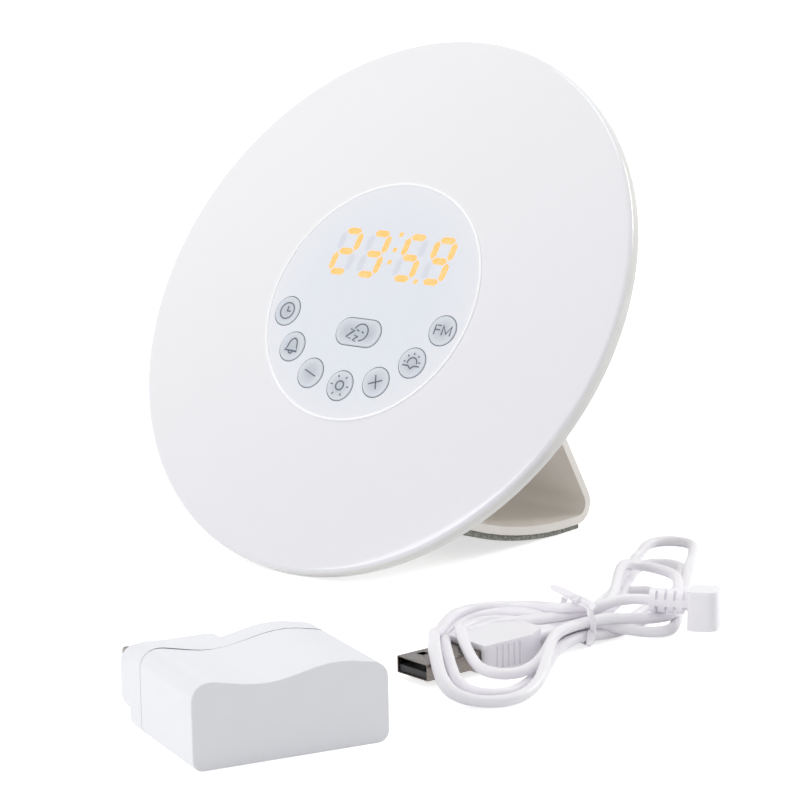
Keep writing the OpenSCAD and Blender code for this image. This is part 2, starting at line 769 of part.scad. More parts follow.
// Height on the drum's back plane where the foot's underside meets it, found by halving.
function meet_foot(lo, hi, n = 30) =
    let (mid = (lo + hi) / 2, p = from_disc(mid, back_z))
        n == 0 ? mid : p.y > foot_under(p.x) ? meet_foot(lo, mid, n - 1) : meet_foot(mid, hi, n - 1);
front_low = from_disc(meet_foot(-rim_r, 0), back_z);
heel = [heel_reach, foot_under(heel_reach)];
// Where the leg's line from the heel meets the drum's back plane
leg_dir = [-sin(leg_lean), cos(leg_lean)];
plane_dir = [sin(lean), cos(lean)];
leg_len = ((from_disc(0, back_z) - heel).x * plane_dir.y - (from_disc(0, back_z) - heel).y * plane_dir.x)
    / (leg_dir.x * plane_dir.y - leg_dir.y * plane_dir.x);
apex = heel + leg_dir * leg_len;
foot_steps = 8;
heel_round = 6;
foot_front = front_low.x;
foot_end = heel.x - 2 * heel_round;          // the foot's curve gives way to the heel's rounding here
stand_corners = concat(
    [front_low],
    [for (i = [1 : foot_steps]) let (y = foot_front + (foot_end - foot_front) * i / foot_steps)
        [y, foot_under(y)]],
    [heel, apex]
);
function stand_radii(cut) = concat(
    [3 - cut], [for (i = [1 : foot_steps]) 0], [heel_round - cut, 4 - cut]
);

module stand_profile() {
    difference() {
        polygon(rounded(stand_corners, stand_radii(0)));
        polygon(rounded(inset(stand_corners, stand_t), stand_radii(stand_t)));
    }
}

module stand() {
    color([0.88, 0.88, 0.87]) difference() {
        translate([-stand_w / 2, 0, 0]) rotate([90, 0, 90]) linear_extrude(stand_w) stand_profile();
        on_disc() for (p = stand_screw_at) translate([p.x, p.y, back_z - stand_t - 1])
            cylinder(r = screw_r + fit_gap, h = stand_t + 2, $fn = 32);
    }
}

stand_head_r = 2.9;
stand_tip_gap = 2.6;                         // from a stand screw's tip to the top of its boss

module stand_screws() {
    color("silver") on_disc() for (p = stand_screw_at) translate([p.x, p.y, 0])
        screw(stand_head_r, back_z - stand_t, stand_boss_top - stand_tip_gap);
}

pad_inset = 0.8;                             // how far the pad's ends stay inside the stand's width
pad_back = 4.8;                              // rear end of the pad
pad_front = front_low.x + 7;

module foot_pad() {
    color([0.45, 0.46, 0.42]) intersection() {
        translate([-stand_w / 2 + pad_inset, 0, foot_mid_z]) rotate([0, 90, 0]) difference() {
            cylinder(r = foot_curve_r, h = stand_w - 2 * pad_inset, $fn = 720);
            translate([0, 0, -1]) cylinder(r = foot_r, h = stand_w, $fn = 720);
        }
        translate([-stand_w / 2, pad_front, 0]) cube([stand_w, pad_back - pad_front, 20]);
    }
}

// ---- Wall adapter: a box with a wavy top, lying beside the clock ----
adapter_at = [116.5, -219.5];                // middle of its front end's bottom edge, on the table
adapter_turn = 66;
adapter_back_l = 8;                          // length of the rear half
case_l = adapter_l - adapter_back_l;
seam_gap = 0.25;                             // parting line between the halves
crest_x = 12;                                // where the wavy top is highest
wave_dip = 2.6;
wave_l = 37;
side_round = 4.5;
base_round = 2.8;
wave_steps = 12;
block_l = 9;                                 // the block that carries the blades
block_w = 28;
block_inset = 1.2;
block_low = 1.8;
block_top = adapter_h - 3.4;
block_round = 4.5;
blade = [1.5, 16.5, 6.35];                   // thickness, length outside the block, height
blade_root = 7;
blade_hole_r = 1.6;
blade_z = (block_low + block_top) / 2;
blade_x = [-1, 1] * blade_pitch / 2;
block_x = -adapter_w / 2 + block_inset + block_w / 2;
pcb_low = 4.6;                               // underside of the adapter's board
pcb_t = 1.6;
pcb_top = pcb_low + pcb_t;
socket_w = usb_w + 1.2;                      // outside of the USB socket's metal shell
socket_h = usb_h + 1.3;
socket_l = 14;
socket_wall = 0.35;
socket_y = case_l * 0.6;
socket_z = pcb_top + socket_h / 2;

module on_adapter() {
    translate([adapter_at.x, adapter_at.y, 0]) rotate([0, 0, adapter_turn]) children();
}

function case_top(x) = adapter_h - wave_dip * (1 - cos(360 * (x - crest_x) / wave_l)) / 2;

side_x = adapter_w / 2;
wave_end = side_x - side_round - 1.5;
case_outline = rounded(
    concat(
        [[-side_x, 0], [side_x, 0], [side_x, case_top(side_x)]],
        [for (i = [0 : wave_steps]) let (x = wave_end - 2 * wave_end * i / wave_steps)
            [x, case_top(x)]],
        [[-side_x, case_top(-side_x)]]
    ),
    concat([base_round, base_round, side_round], [for (i = [0 : wave_steps]) 0], [side_round])
);

// A prism with the given outline in the x-z plane, from y0 to y1.
module along_y(points, y0, y1) {
    translate([0, y1, 0]) rotate([90, 0, 0]) linear_extrude(y1 - y0) polygon(points);
}

module adapter_case() {
    color([0.93, 0.93, 0.95]) on_adapter() {
        difference() {
            along_y(case_outline, 0, case_l - seam_gap);
            along_y(inset(case_outline, adapter_wall), adapter_wall, case_l + 1);
            translate([side_x - adapter_wall - 1, socket_y - socket_w / 2 - fit_gap,
                       socket_z - socket_h / 2 - fit_gap])
                cube([adapter_wall + 2, socket_w + 2 * fit_gap, socket_h + 2 * fit_gap]);
        }
        for (x = [-14, 14]) translate([x - 1, adapter_wall + 2, adapter_wall - 0.2])
            cube([2, case_l / 2, pcb_low - adapter_wall + 0.2]);
    }
}

block_outline = rounded(
    [[block_x - block_w / 2, block_low], [block_x + block_w / 2, block_low],
     [block_x + block_w / 2, block_top], [block_x - block_w / 2, block_top]],
    [block_round, block_round, block_round, block_round]
);

module blades(gap, hole_r) {
    y1 = adapter_l + block_l + blade.y;
    for (dx = blade_x) difference() {
        translate([block_x + dx - blade.x / 2 - gap, adapter_l + block_l - blade_root,
                   blade_z - blade.z / 2 - gap])
            cube([blade.x + 2 * gap, blade_root + blade.y, blade.z + 2 * gap]);
        if (hole_r > 0) {
            translate([block_x + dx - 2, y1 - 3.6, blade_z]) rotate([0, 90, 0])
                cylinder(r = hole_r, h = 4, $fn = 32);
            for (s = [-1, 1]) translate([block_x + dx, y1, blade_z + s * blade.z / 2])
                rotate([45, 0, 0]) cube([4, 1.4, 1.4], center = true);
        }
    }
}

module adapter_back() {
    color([0.93, 0.93, 0.95]) on_adapter() difference() {
        union() {
            along_y(case_outline, case_l, adapter_l);
            along_y(block_outline, adapter_l - 1, adapter_l + block_l);
        }
        along_y(inset(case_outline, adapter_wall), case_l - 1, adapter_l - adapter_wall);
        blades(0.05, 0);
    }
}

module adapter_blades() {
    color("silver") on_adapter() blades(0, blade_hole_r);
}

module adapter_board() {
    x0 = -side_x + adapter_wall + 3;
    x1 = side_x - adapter_wall - 0.6;
    color([0.1, 0.4, 0.25]) on_adapter() translate([x0, adapter_wall + 1, pcb_low])
        cube([x1 - x0, case_l - adapter_wall - 2, pcb_t]);
}

transformer = [15, 14, 10.5];
transformer_at = [-14, 8];
input_can_r = 4;
input_can_h = 10;
input_can_at = [-8, 27];
output_can_r = 2.5;
output_can_h = 8;
output_can_at = [4, 8];
rectifier = [5, 5, 3];
rectifier_at = [-18, 25];

module adapter_parts() {
    color([0.85, 0.75, 0.3]) on_adapter() {
        translate([transformer_at.x, transformer_at.y, pcb_top]) cube(transformer);
        translate([rectifier_at.x, rectifier_at.y, pcb_top]) cube(rectifier);
        translate([input_can_at.x, input_can_at.y, pcb_top])
            cylinder(r = input_can_r, h = input_can_h, $fn = 48);
        translate([output_can_at.x, output_can_at.y, pcb_top])
            cylinder(r = output_can_r, h = output_can_h, $fn = 48);
    }
}

module usb_socket() {
    x0 = side_x - 0.3 - socket_l;
    color("silver") on_adapter() translate([x0, socket_y, socket_z]) {
        difference() {
            translate([0, -socket_w / 2, -socket_h / 2]) cube([socket_l, socket_w, socket_h]);
            translate([1, -socket_w / 2 + socket_wall, -socket_h / 2 + socket_wall])
                cube([socket_l, socket_w - 2 * socket_wall, socket_h - 2 * socket_wall]);
        }
        translate([0.5, -socket_w / 2 + 1.5, 0]) cube([socket_l - 2, socket_w - 3, 1.6]);
    }
}

// ---- Power lead: a USB plug, the cord wound into a tied hank, and an angled power plug ----
usb_at = [100.5, -155.5];                    // tip of the USB plug, on the table
usb_turn = 80;
usb_shell_l = 18.5;                          // bare length of the metal shell
usb_shell_root = 3;
usb_shell_t = 0.35;
usb_grip_l = 23.5;
usb_grip_w = 15.5;
usb_grip_h = 8;
usb_relief_l = 7;
cord_r = cord_d / 2;
usb_relief_r = cord_r + 1.3;
usb_z = usb_grip_h / 2;

module on_usb() {
    translate([usb_at.x, usb_at.y, usb_z]) rotate([0, 0, usb_turn]) children();
}

module usb_shell() {
    hole = 2.4;
    color("silver") on_usb() difference() {
        translate([0, -usb_w / 2, -usb_h / 2]) cube([usb_shell_l + usb_shell_root, usb_w, usb_h]);
        translate([-1, -usb_w / 2 + usb_shell_t, -usb_h / 2 + usb_shell_t])
            cube([usb_shell_l + usb_shell_root + 2, usb_w - 2 * usb_shell_t, usb_h - 2 * usb_shell_t]);
        for (y = [-1, 1]) translate([5.2, y * usb_w / 4 - hole / 2, -usb_h])
            cube([hole, hole, 2 * usb_h]);
    }
}

module usb_tongue() {
    color([0.15, 0.15, 0.16]) on_usb()
        translate([0.6, -usb_w / 2 + usb_shell_t + 0.05, -usb_h / 2 + usb_shell_t + 0.05])
            cube([usb_shell_l + usb_shell_root - 0.8, usb_w - 2 * usb_shell_t - 0.1, 1.8]);
}

usb_grip_outline = rounded(
    [[0, -usb_grip_w / 2], [usb_grip_l - 7, -usb_grip_w / 2], [usb_grip_l, -usb_relief_r - 1],
     [usb_grip_l, usb_relief_r + 1], [usb_grip_l - 7, usb_grip_w / 2], [0, usb_grip_w / 2]],
    [1.2, 3, 1.2, 1.2, 3, 1.2]
);

module usb_grip() {
    color([0.95, 0.95, 0.96]) on_usb() difference() {
        union() {
            translate([usb_shell_l, 0, -usb_grip_h / 2]) linear_extrude(usb_grip_h)
                polygon(usb_grip_outline);
            translate([usb_shell_l + usb_grip_l - 1, 0, 0]) rotate([0, 90, 0])
                cylinder(r1 = usb_relief_r + 0.8, r2 = usb_relief_r - 0.4, h = usb_relief_l + 1, $fn = 48);
        }
        translate([usb_shell_l - 1, -usb_w / 2 - 0.05, -usb_h / 2 - 0.05])
            cube([usb_shell_root + 1.1, usb_w + 0.1, usb_h + 0.1]);
        // grooves of the finger grip, down both sides
        for (y = [-1, 1], i = [0 : 4]) translate([usb_shell_l + 4 + 2 * i, y * usb_grip_w / 2, 0])
            cube([0.8, 0.8, usb_grip_h - 2], center = true);
    }
}

// Outer shape of the cord's windings: a wide loop round the USB plug, a waist in the tie and a
// long loop beyond it.
loop_h = 9.5;                                // height of the wide loop, over the plug
tail_loop_h = 2 * cord_d;                    // height of the long loop: two layers of cord
tie_at = [110.5, -97.5];
tie_turn = 65;                               // heading of the windings inside the tie
waist_w = 16;                                // width, height and length of the windings there
waist_h = 10.5;
waist_l = 12;
tie_w = 1.8;
tie_t = 0.8;
tie_gap = 0.1;
tie_end_l = 11;
wide_loop = rounded(
    [[102, -92], [84, -86], [70, -84], [71, -106], [120, -173], [136, -172], [143, -158], [118, -102]],
    [2, 8, 9, 14, 12, 8, 12, 2]
);
long_loop = rounded(
    [[102, -94], [118, -102], [130, -100], [131, -78], [124, -56], [84, 8], [69, 9], [77, -26], [98, -74]],
    [1, 6, 6, 14, 14, 7, 7, 14, 10]
);

module on_tie() {
    translate([tie_at.x, tie_at.y, 0]) rotate([0, 0, tie_turn]) children();
}

module lead_hank() {
    plug_gap = 0.4;
    slot_w = tie_w + 4 * tie_gap;
    color([0.95, 0.95, 0.97]) difference() {
        union() {
            linear_extrude(loop_h) polygon(wide_loop);
            linear_extrude(tail_loop_h) polygon(long_loop);
            on_tie() translate([-waist_l / 2, -waist_w / 2, 0]) cube([waist_l, waist_w, waist_h]);
        }
        // room for the USB plug: its shell passes under the windings, its grip lies inside them
        on_usb() {
            translate([-20, -usb_w / 2 - plug_gap, -usb_z - 1])
                cube([usb_shell_l + 21, usb_w + 2 * plug_gap, usb_z + 1 + usb_h / 2 + plug_gap]);
            translate([usb_shell_l - plug_gap, -usb_grip_w / 2 - plug_gap, -usb_z - 1])
                cube([usb_grip_l + 2 * plug_gap, usb_grip_w + 2 * plug_gap, 30]);
            translate([usb_shell_l, -usb_relief_r - 1, -usb_z - 1])
                cube([usb_grip_l + usb_relief_l, 2 * usb_relief_r + 2, 30]);
        }
        // the tie's slot
        on_tie() difference() {
            translate([-slot_w / 2, -waist_w / 2 - 6, -1]) cube([slot_w, waist_w + 12, 20]);
            translate([-slot_w, -waist_w / 2, tie_t + tie_gap])
                cube([2 * slot_w, waist_w, waist_h - tie_t - tie_gap]);
        }
    }
}

module lead_tie() {
    side = waist_w / 2 + tie_gap;
    top = waist_h + tie_gap;
    color([0.96, 0.96, 0.97]) on_tie() {
        translate([-tie_w / 2, 0, 0]) difference() {
            translate([0, -side - tie_t, 0]) cube([tie_w, 2 * (side + tie_t), top + tie_t]);
            translate([-1, -side, tie_t]) cube([tie_w + 2, 2 * side, top - tie_t]);
        }
        for (a = [-88, 97]) translate([0, 0, top]) rotate([0, 0, a])
            translate([0, -tie_w / 2, 0]) cube([tie_end_l, tie_w, 2 * tie_t]);
    }
}

// The angled power plug, lying on the long loop
dc_at = [122.2, -79.85];                     // where the cord enters its relief
dc_turn = 25;
dc_rib_r = 3.4;
dc_core_r = 2.5;
dc_z = tail_loop_h + dc_rib_r + 0.1;
dc_relief_l = 10.5;
dc_ribs = 4;
dc_head = [8.2, 8.5, 11];
dc_head_drop = 7.2;                          // how far the head reaches under the plug's axis
barrel_d = 3.5;
barrel_l = 9.5;
barrel_bore_d = 1.35;

module on_dc() {
    translate([dc_at.x, dc_at.y, dc_z]) rotate([0, 0, dc_turn]) children();
}

module dc_grip() {
    rib_w = 1.7;
    pitch = (dc_relief_l - rib_w) / (dc_ribs - 0.5);
    side = dc_head.y / 2;
    outline = rounded([[0, -side], [dc_head.x, -side], [dc_head.x, side], [0, side]], [1.5, 3, 2, 1.5]);
    color([0.95, 0.95, 0.96]) on_dc() difference() {
        union() {
            rotate([0, 90, 0]) cylinder(r1 = dc_core_r - 0.3, r2 = dc_core_r, h = dc_relief_l + 1, $fn = 48);
            for (i = [0 : dc_ribs - 1]) translate([i * pitch, 0, 0]) rotate([0, 90, 0])
                cylinder(r = dc_rib_r, h = rib_w, $fn = 48);
            for (s = [-1, 1]) translate([0.5, s * dc_core_r - 0.8, -0.9])
                cube([dc_relief_l, 1.6, 1.8]);
            translate([dc_relief_l, 0, -dc_head_drop]) linear_extrude(dc_head.z) polygon(outline);
        }
        translate([dc_relief_l + dc_head.x / 2, side - 4, dc_barrel_z]) rotate([-90, 0, 0])
            cylinder(r = barrel_d / 2 + 0.02, h = 6, $fn = 48);
    }
}

dc_barrel_z = dc_head.z / 2 - dc_head_drop;

module dc_barrel() {
    color("silver") on_dc() translate([dc_relief_l + dc_head.x / 2, dc_head.y / 2 - 4, dc_barrel_z])
        rotate([-90, 0, 0]) difference() {
            cylinder(r = barrel_d / 2, h = barrel_l + 4, $fn = 48);
            translate([0, 0, 5]) cylinder(r = barrel_bore_d / 2, h = barrel_l, $fn = 32);
        }
}

// Route of the cord from the tie to the power plug
TAIL = [
    [112.15, -91.5, 8.4], [113.3, -89, 8.6], [114.4, -86.8, 9], [115.7, -84.8, 9.4],
    [117.2, -83, 9.5], [119.2, -81.4, 9.5], [122.13, -79.88, 9.5]
];

// A tube of 8 sides along the points.
module tube(points, r) {
    n = len(points);
    sides = 8;
    function along(i) = toward(points[max(0, i - 1)], points[min(n - 1, i + 1)]);
    rings = [
        for (i = [0 : n - 1])
            let (t = along(i), side = cross(t, [0, 0, 1]) / norm(cross(t, [0, 0, 1])), up = cross(side, t))
                for (k = [0 : sides - 1]) let (a = 360 * k / sides)
                    points[i] + r * (side * cos(a) + up * sin(a))
    ];
    walls = [
        for (i = [0 : n - 2], k = [0 : sides - 1]) let (m = (k + 1) % sides)
            [i * sides + k, i * sides + m, (i + 1) * sides + m, (i + 1) * sides + k]
    ];
    polyhedron(rings, concat(
        [[for (k = [sides - 1 : -1 : 0]) k]], walls,
        [[for (k = [0 : sides - 1]) (n - 1) * sides + k]]
    ));
}

module lead_tail() {
    color([0.95, 0.95, 0.97]) tube(TAIL, cord_r);
}

front_cover();
rear_cover();
control_panel();
display_lit();
display_unlit();
display_module();
key_clock();
key_alarm();
key_minus();
key_light();
key_plus();
key_sunrise();
key_radio();
key_snooze();
panel_tub();
switch_board();
key_switches();
board_screws();
chassis();
light_board();
light_leds();
reflector();
main_board();
board_parts();
power_socket();
socket_pin();
speaker_basket();
speaker_cone();
speaker_magnet();
speaker_wires();
cell_contacts();
backup_cell();
battery_door();
housing_screws();
stand();
stand_screws();
foot_pad();
adapter_case();
adapter_back();
adapter_blades();
adapter_board();
adapter_parts();
usb_socket();
usb_shell();
usb_tongue();
usb_grip();
lead_hank();
lead_tail();
lead_tie();
dc_grip();
dc_barrel();
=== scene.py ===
"""Looks of a sunrise alarm clock with its wall adapter and power lead, in metres."""
import json
import math

import bmesh
import bpy
import numpy as np
from mathutils import Matrix, Vector


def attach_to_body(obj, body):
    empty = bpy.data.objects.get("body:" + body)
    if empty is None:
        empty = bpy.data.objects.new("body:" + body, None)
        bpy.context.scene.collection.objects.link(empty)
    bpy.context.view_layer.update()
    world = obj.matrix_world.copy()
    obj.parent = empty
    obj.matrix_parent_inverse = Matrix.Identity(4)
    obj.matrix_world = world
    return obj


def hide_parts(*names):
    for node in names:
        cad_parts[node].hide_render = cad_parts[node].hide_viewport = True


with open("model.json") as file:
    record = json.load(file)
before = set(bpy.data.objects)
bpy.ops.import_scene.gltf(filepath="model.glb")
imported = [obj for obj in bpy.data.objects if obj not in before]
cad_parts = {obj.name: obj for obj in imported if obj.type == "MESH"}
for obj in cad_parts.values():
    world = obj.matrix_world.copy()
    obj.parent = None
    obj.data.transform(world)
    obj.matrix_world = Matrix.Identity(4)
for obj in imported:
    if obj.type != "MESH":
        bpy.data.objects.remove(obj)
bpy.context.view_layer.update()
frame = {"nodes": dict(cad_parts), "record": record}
scene = bpy.context.scene
scene.view_settings.view_transform = "Standard"

# ---- Sizes, in mm, as in the part's source ----
MM = 0.001
DISC_R = 87.5
LEAN = 32                      # the disc leans back by this many degrees
DOME_RISE = 3
FRONT_BAND = 3
REAR_BAND = 2.4
EDGE_ROUND = 1.4
WALL = 2.2
FOOT_REACH = 91
PANEL_R = 38.9
PANEL_Y = -1.6
KEY_R = 4.7
KEY_GAP = 0.25
KEY_PROUD = 0.35
KEY_ARC_R = 32.5
KEY_ARC_Y = 2.8
KEY_STEP = 23.3                # degrees between the round keys
SNOOZE_R = 4.35
SNOOZE_HALF = 4.15             # from the snooze key's middle to the middle of its round end
SNOOZE_Y = -12.4
CORD_R = 1.5
TIE_AT = (110.5, -97.5)
TIE_TURN = 65
USB_AT = (100.5, -155.5)
USB_TURN = 80
USB_Z = 4
USB_SHELL_L = 18.5
USB_GRIP_L = 23.5
USB_RELIEF_L = 7
ADAPTER_AT = (116.5, -219.5)
ADAPTER_TURN = 66
ADAPTER_CASE_L = 33            # from its front end to where its two halves meet
ADAPTER_H = 22
DC_AT = (122.2, -79.85)
DC_TURN = 25
DC_RELIEF_L = 10.5


# ---- Places ----
def turn_to(degrees, axis):
    return Matrix.Rotation(math.radians(degrees), 4, axis)


def moved(x, y, z):
    return Matrix.Translation((x, y, z))


def disc_frame():
    """The disc's frame, in its rim's front plane: x right, y up the disc, z out of its face."""
    lean = math.radians(LEAN)
    rim_turn = EDGE_ROUND - FRONT_BAND - REAR_BAND
    y = -FOOT_REACH + (DISC_R - EDGE_ROUND) * math.sin(lean) + rim_turn * math.cos(lean)
    z = (DISC_R - EDGE_ROUND) * math.cos(lean) - rim_turn * math.sin(lean) + EDGE_ROUND
    return moved(0, y, z) @ turn_to(90 - LEAN, "X")


TO_METRES = Matrix.Scale(MM, 4)
DISC = TO_METRES @ disc_frame()
TIE = TO_METRES @ moved(*TIE_AT, 0) @ turn_to(TIE_TURN, "Z")
ADAPTER = TO_METRES @ moved(*ADAPTER_AT, 0) @ turn_to(ADAPTER_TURN, "Z")
DC_PLUG = TO_METRES @ moved(*DC_AT, 0) @ turn_to(DC_TURN, "Z")


def dome(r):
    """Height of the front face over the rim's front plane, r from the disc's middle."""
    return DOME_RISE * (1 - (r / DISC_R) ** 2)


def panel_height(x, y):
    fall = (x * x + (y - PANEL_Y) ** 2) / DISC_R**2
    return dome(PANEL_Y) - DOME_RISE * fall


def on_panel(x, y):
    """A frame on the panel's surface at x, y of the disc, square to the surface there."""
    slope = 2 * DOME_RISE / DISC_R**2
    out = Vector((slope * x, slope * (y - PANEL_Y), 1)).normalized()
    tilt = Vector((0, 0, 1)).rotation_difference(out).to_matrix().to_4x4()
    return DISC @ moved(x, y, panel_height(x, y)) @ tilt


def key_place(step):
    a = math.radians(step * KEY_STEP)
    return KEY_ARC_R * math.sin(a), KEY_ARC_Y - KEY_ARC_R * math.cos(a)


# ---- Camera ----
CAMERA_AT = (0.5782, -0.7274, 0.2240)
CAMERA_AZIMUTH = 40.03
CAMERA_ELEVATION = 11.33
CAMERA_ROLL = -0.87


def make_camera():
    camera = bpy.data.objects.new("camera", bpy.data.cameras.new("camera"))
    camera.data.lens = 135
    camera.data.sensor_width = 36
    camera.data.clip_end = 20
    camera.matrix_world = (
        Matrix.Translation(CAMERA_AT)
        @ turn_to(CAMERA_AZIMUTH, "Z")
        @ turn_to(90 - CAMERA_ELEVATION, "X")
        @ turn_to(CAMERA_ROLL, "Z")
    )
    scene.collection.objects.link(camera)
    scene.camera = camera


# ---- Shader maths ----
class Value:
    """A number in a shader: Python's operators add its Math nodes."""

    def __init__(self, finish, socket):
        self.finish = finish
        self.socket = socket

    def maths(self, operation, *values):
        node = self.finish.node("ShaderNodeMath", {"operation": operation}, dict(enumerate(values)))
        return Value(self.finish, node.outputs[0])

    def __add__(self, other):
        return self.maths("ADD", self, other)

    __radd__ = __add__

    def __sub__(self, other):
        return self.maths("SUBTRACT", self, other)

    def __rsub__(self, other):
        return self.maths("SUBTRACT", other, self)

    def __mul__(self, other):
        return self.maths("MULTIPLY", self, other)

    __rmul__ = __mul__

    def __pow__(self, other):
        return self.maths("POWER", self, other)

    def ramp(self, low, high):
        """0 below low, 1 over high, straight between."""
        node = self.finish.node(
            "ShaderNodeMapRange", {"clamp": True}, {0: self, 1: low, 2: high, 3: 0.0, 4: 1.0}
        )
        return Value(self.finish, node.outputs[0])


class Finish:
    """A material under construction: one Principled shader and what feeds it."""

    def __init__(self, name, colour, roughness, place=None, **constants):
        self.material = bpy.data.materials.new(name)
        self.material.use_nodes = True
        self.tree = self.material.node_tree
        self.tree.nodes.clear()
        self.shader = self.node("ShaderNodeBsdfPrincipled")
        output = self.node("ShaderNodeOutputMaterial")
        self.tree.links.new(self.shader.outputs[0], output.inputs["Surface"])
        self.material.diffuse_color = colour
        self.colour(colour)
        self.set("Roughness", roughness)
        for socket, value in constants.items():
            self.set(socket.replace("_", " "), value)
        coordinates = self.node("ShaderNodeTexCoord").outputs["Object"]
        if place is not None:
            at, turned, _ = place.decompose()
            mapping = self.node(
                "ShaderNodeMapping",
                {"vector_type": "TEXTURE"},
                {"Vector": coordinates, "Location": at, "Rotation": turned.to_euler()},
            )
            coordinates = mapping.outputs[0]
        self.where = coordinates

    def node(self, kind, settings=None, sockets=None):
        """A node of any kind: its settings first, then the values or links of its sockets."""
        node = self.tree.nodes.new(kind)
        for name, value in (settings or {}).items():
            setattr(node, name, value)
        for name, value in (sockets or {}).items():
            self.feed(node.inputs[name], value)
        return node

    def feed(self, socket, value):
        if isinstance(value, Value):
            value = value.socket
        if isinstance(value, bpy.types.NodeSocket):
            self.tree.links.new(value, socket)
        else:
            socket.default_value = value

    def set(self, socket, value):
        self.feed(self.shader.inputs[socket], value)

    def colour(self, colour):
        self.set("Base Color", colour)

    def axes(self):
        """The place along x, y and z, in metres."""
        split = self.node("ShaderNodeSeparateXYZ", None, {0: self.where})
        return [Value(self, s) for s in split.outputs]

    def noise(self, size, detail=3.0, stretch=None):
        """Soft noise from 0 to 1 with patches of about size, in metres."""
        where = self.where
        if stretch:
            scaled = self.node(
                "ShaderNodeVectorMath", {"operation": "MULTIPLY"}, {0: where, 1: stretch}
            )
            where = scaled.outputs[0]
        node = self.node(
            "ShaderNodeTexNoise", None, {"Vector": where, "Scale": 1 / size, "Detail": detail}
        )
        return Value(self, node.outputs["Fac"] if "Fac" in node.outputs else node.outputs[0])

    def blend(self, factor, first, second):
        node = self.node(
            "ShaderNodeMix", {"data_type": "RGBA"}, {0: factor, 6: first, 7: second}
        )
        return node.outputs[2]

    def bump(self, height, depth, strength=1.0):
        """Relief of the given depth, in metres, where height goes from 0 to 1."""
        node = self.node(
            "ShaderNodeBump", None, {"Height": height, "Distance": depth, "Strength": strength}
        )
        self.set("Normal", node.outputs[0])


def srgb(red, green, blue):
    """A screen colour of 0 to 255 a channel, as the shader's own linear one."""
    def linear(c):
        c = c / 255
        return c / 12.92 if c <= 0.04045 else ((c + 0.055) / 1.055) ** 2.4
    return (linear(red), linear(green), linear(blue), 1)


# ---- Finishes ----
FACE_TO_RIM_SHADE = (-0.0004, -0.0013)   # from which height to which, in metres, the rim's painted shade comes in
PANEL_EDGE = (0.024, 0.038)         # from which radius to which, in metres, the panel gets lighter


def moulded(name, colour, roughness, mottle=0.03, grain=0.0, **constants):
    """Moulded plastic: faint clouding of its colour and gloss, and a fine grain."""
    finish = Finish(name, colour, roughness, **constants)
    cloud = finish.noise(0.018)
    darker = [c * (1 - mottle) for c in colour[:3]] + [1]
    finish.colour(finish.blend(cloud, colour, darker))
    finish.set("Roughness", roughness + (cloud - 0.5) * 0.08)
    if grain:
        finish.bump(finish.noise(0.0004, 2.0), grain)
    return finish


def milky_face():
    """Milky glossy acrylic: clear white on the face, with painted shade darkening it towards the
    lower right and greying its rim band.
    """
    finish = Finish("milky_acrylic", srgb(247, 247, 250), 0.13, DISC,
                    Coat_Weight=0.3, Coat_Roughness=0.04)
    x, y, z = finish.axes()
    # painted shade: the face's colour darkens towards its lower right, away from the light
    painted_shade_lower_right = (x * 0.6 - y * 0.8).ramp(-0.07, 0.09)
    face = finish.blend(painted_shade_lower_right, srgb(249, 249, 251), srgb(240, 240, 245))
    # painted shade: the rim band, turned away from the light, is greyed in its colour
    edge = z.ramp(*FACE_TO_RIM_SHADE)
    flow = finish.noise(0.009, 2.0)
    band = finish.blend(flow, srgb(238, 237, 234), srgb(227, 226, 222))
    finish.colour(finish.blend(edge, face, band))
    finish.set("Roughness", 0.12 + flow * 0.05)
    return finish


def rear_white():
    """The rear cover and its door: satin, a touch greyer than the face."""
    finish = Finish("rear_cover_white", srgb(240, 241, 238), 0.3, DISC)
    cloud = finish.noise(0.02)
    finish.colour(finish.blend(cloud, srgb(237, 237, 234), srgb(230, 230, 226)))
    finish.set("Roughness", 0.26 + cloud * 0.1)
    finish.bump(finish.noise(0.0005, 2.0), 0.00002)
    return finish


def panel_blue_white():
    """The panel: a touch bluer than the face, lighter towards its edge."""
    finish = Finish("panel_white", srgb(240, 243, 249), 0.16, DISC,
                    Coat_Weight=0.2, Coat_Roughness=0.05)
    x, y, _ = finish.axes()
    up = y - PANEL_Y * MM
    r = (x * x + up * up) ** 0.5
    cloud = finish.noise(0.012)
    middle = finish.blend(cloud, srgb(238, 241, 248), srgb(235, 239, 247))
    finish.colour(finish.blend(r.ramp(*PANEL_EDGE), middle, srgb(241, 243, 248)))
    return finish


def key_grey(name="key_grey", place=DISC, r=KEY_R, half=0.0):
    """A key's cap: cool grey, darker in its middle, with a painted highlight lightening it towards
    its rim.
    """
    finish = Finish(name, srgb(222, 227, 235), 0.32, place)
    x, y, _ = finish.axes()
    side = x.maths("ABSOLUTE", x) - half * MM
    side = side.maths("MAXIMUM", side, 0.0)
    # painted highlight: the cap's colour lightens towards its rim, where its edge would catch the
    # light
    rim_highlight_mask = ((side * side + y * y) ** 0.5).ramp(0.25 * r * MM, 0.86 * r * MM)
    cloud = finish.noise(0.004, 2.0)
    middle = finish.blend(cloud, srgb(206, 212, 220), srgb(193, 200, 210))
    finish.colour(finish.blend(rim_highlight_mask, middle, srgb(221, 226, 234)))
    finish.bump(finish.noise(0.0003, 2.0), 0.00001)
    return finish


def lit_amber():
    """A light guide lit from behind: its glow varies in soft patches between deeper amber and yellow.
    """
    finish = Finish("digit_amber", srgb(255, 206, 128), 0.5, DISC)
    cloud = finish.noise(0.0016, 2.0).ramp(0.3, 0.7)
    glow = finish.blend(cloud, srgb(255, 202, 104), srgb(255, 218, 142))
    finish.colour(srgb(150, 96, 60))
    finish.set("Emission Color", glow)
    finish.set("Emission Strength", 0.8)
    return finish


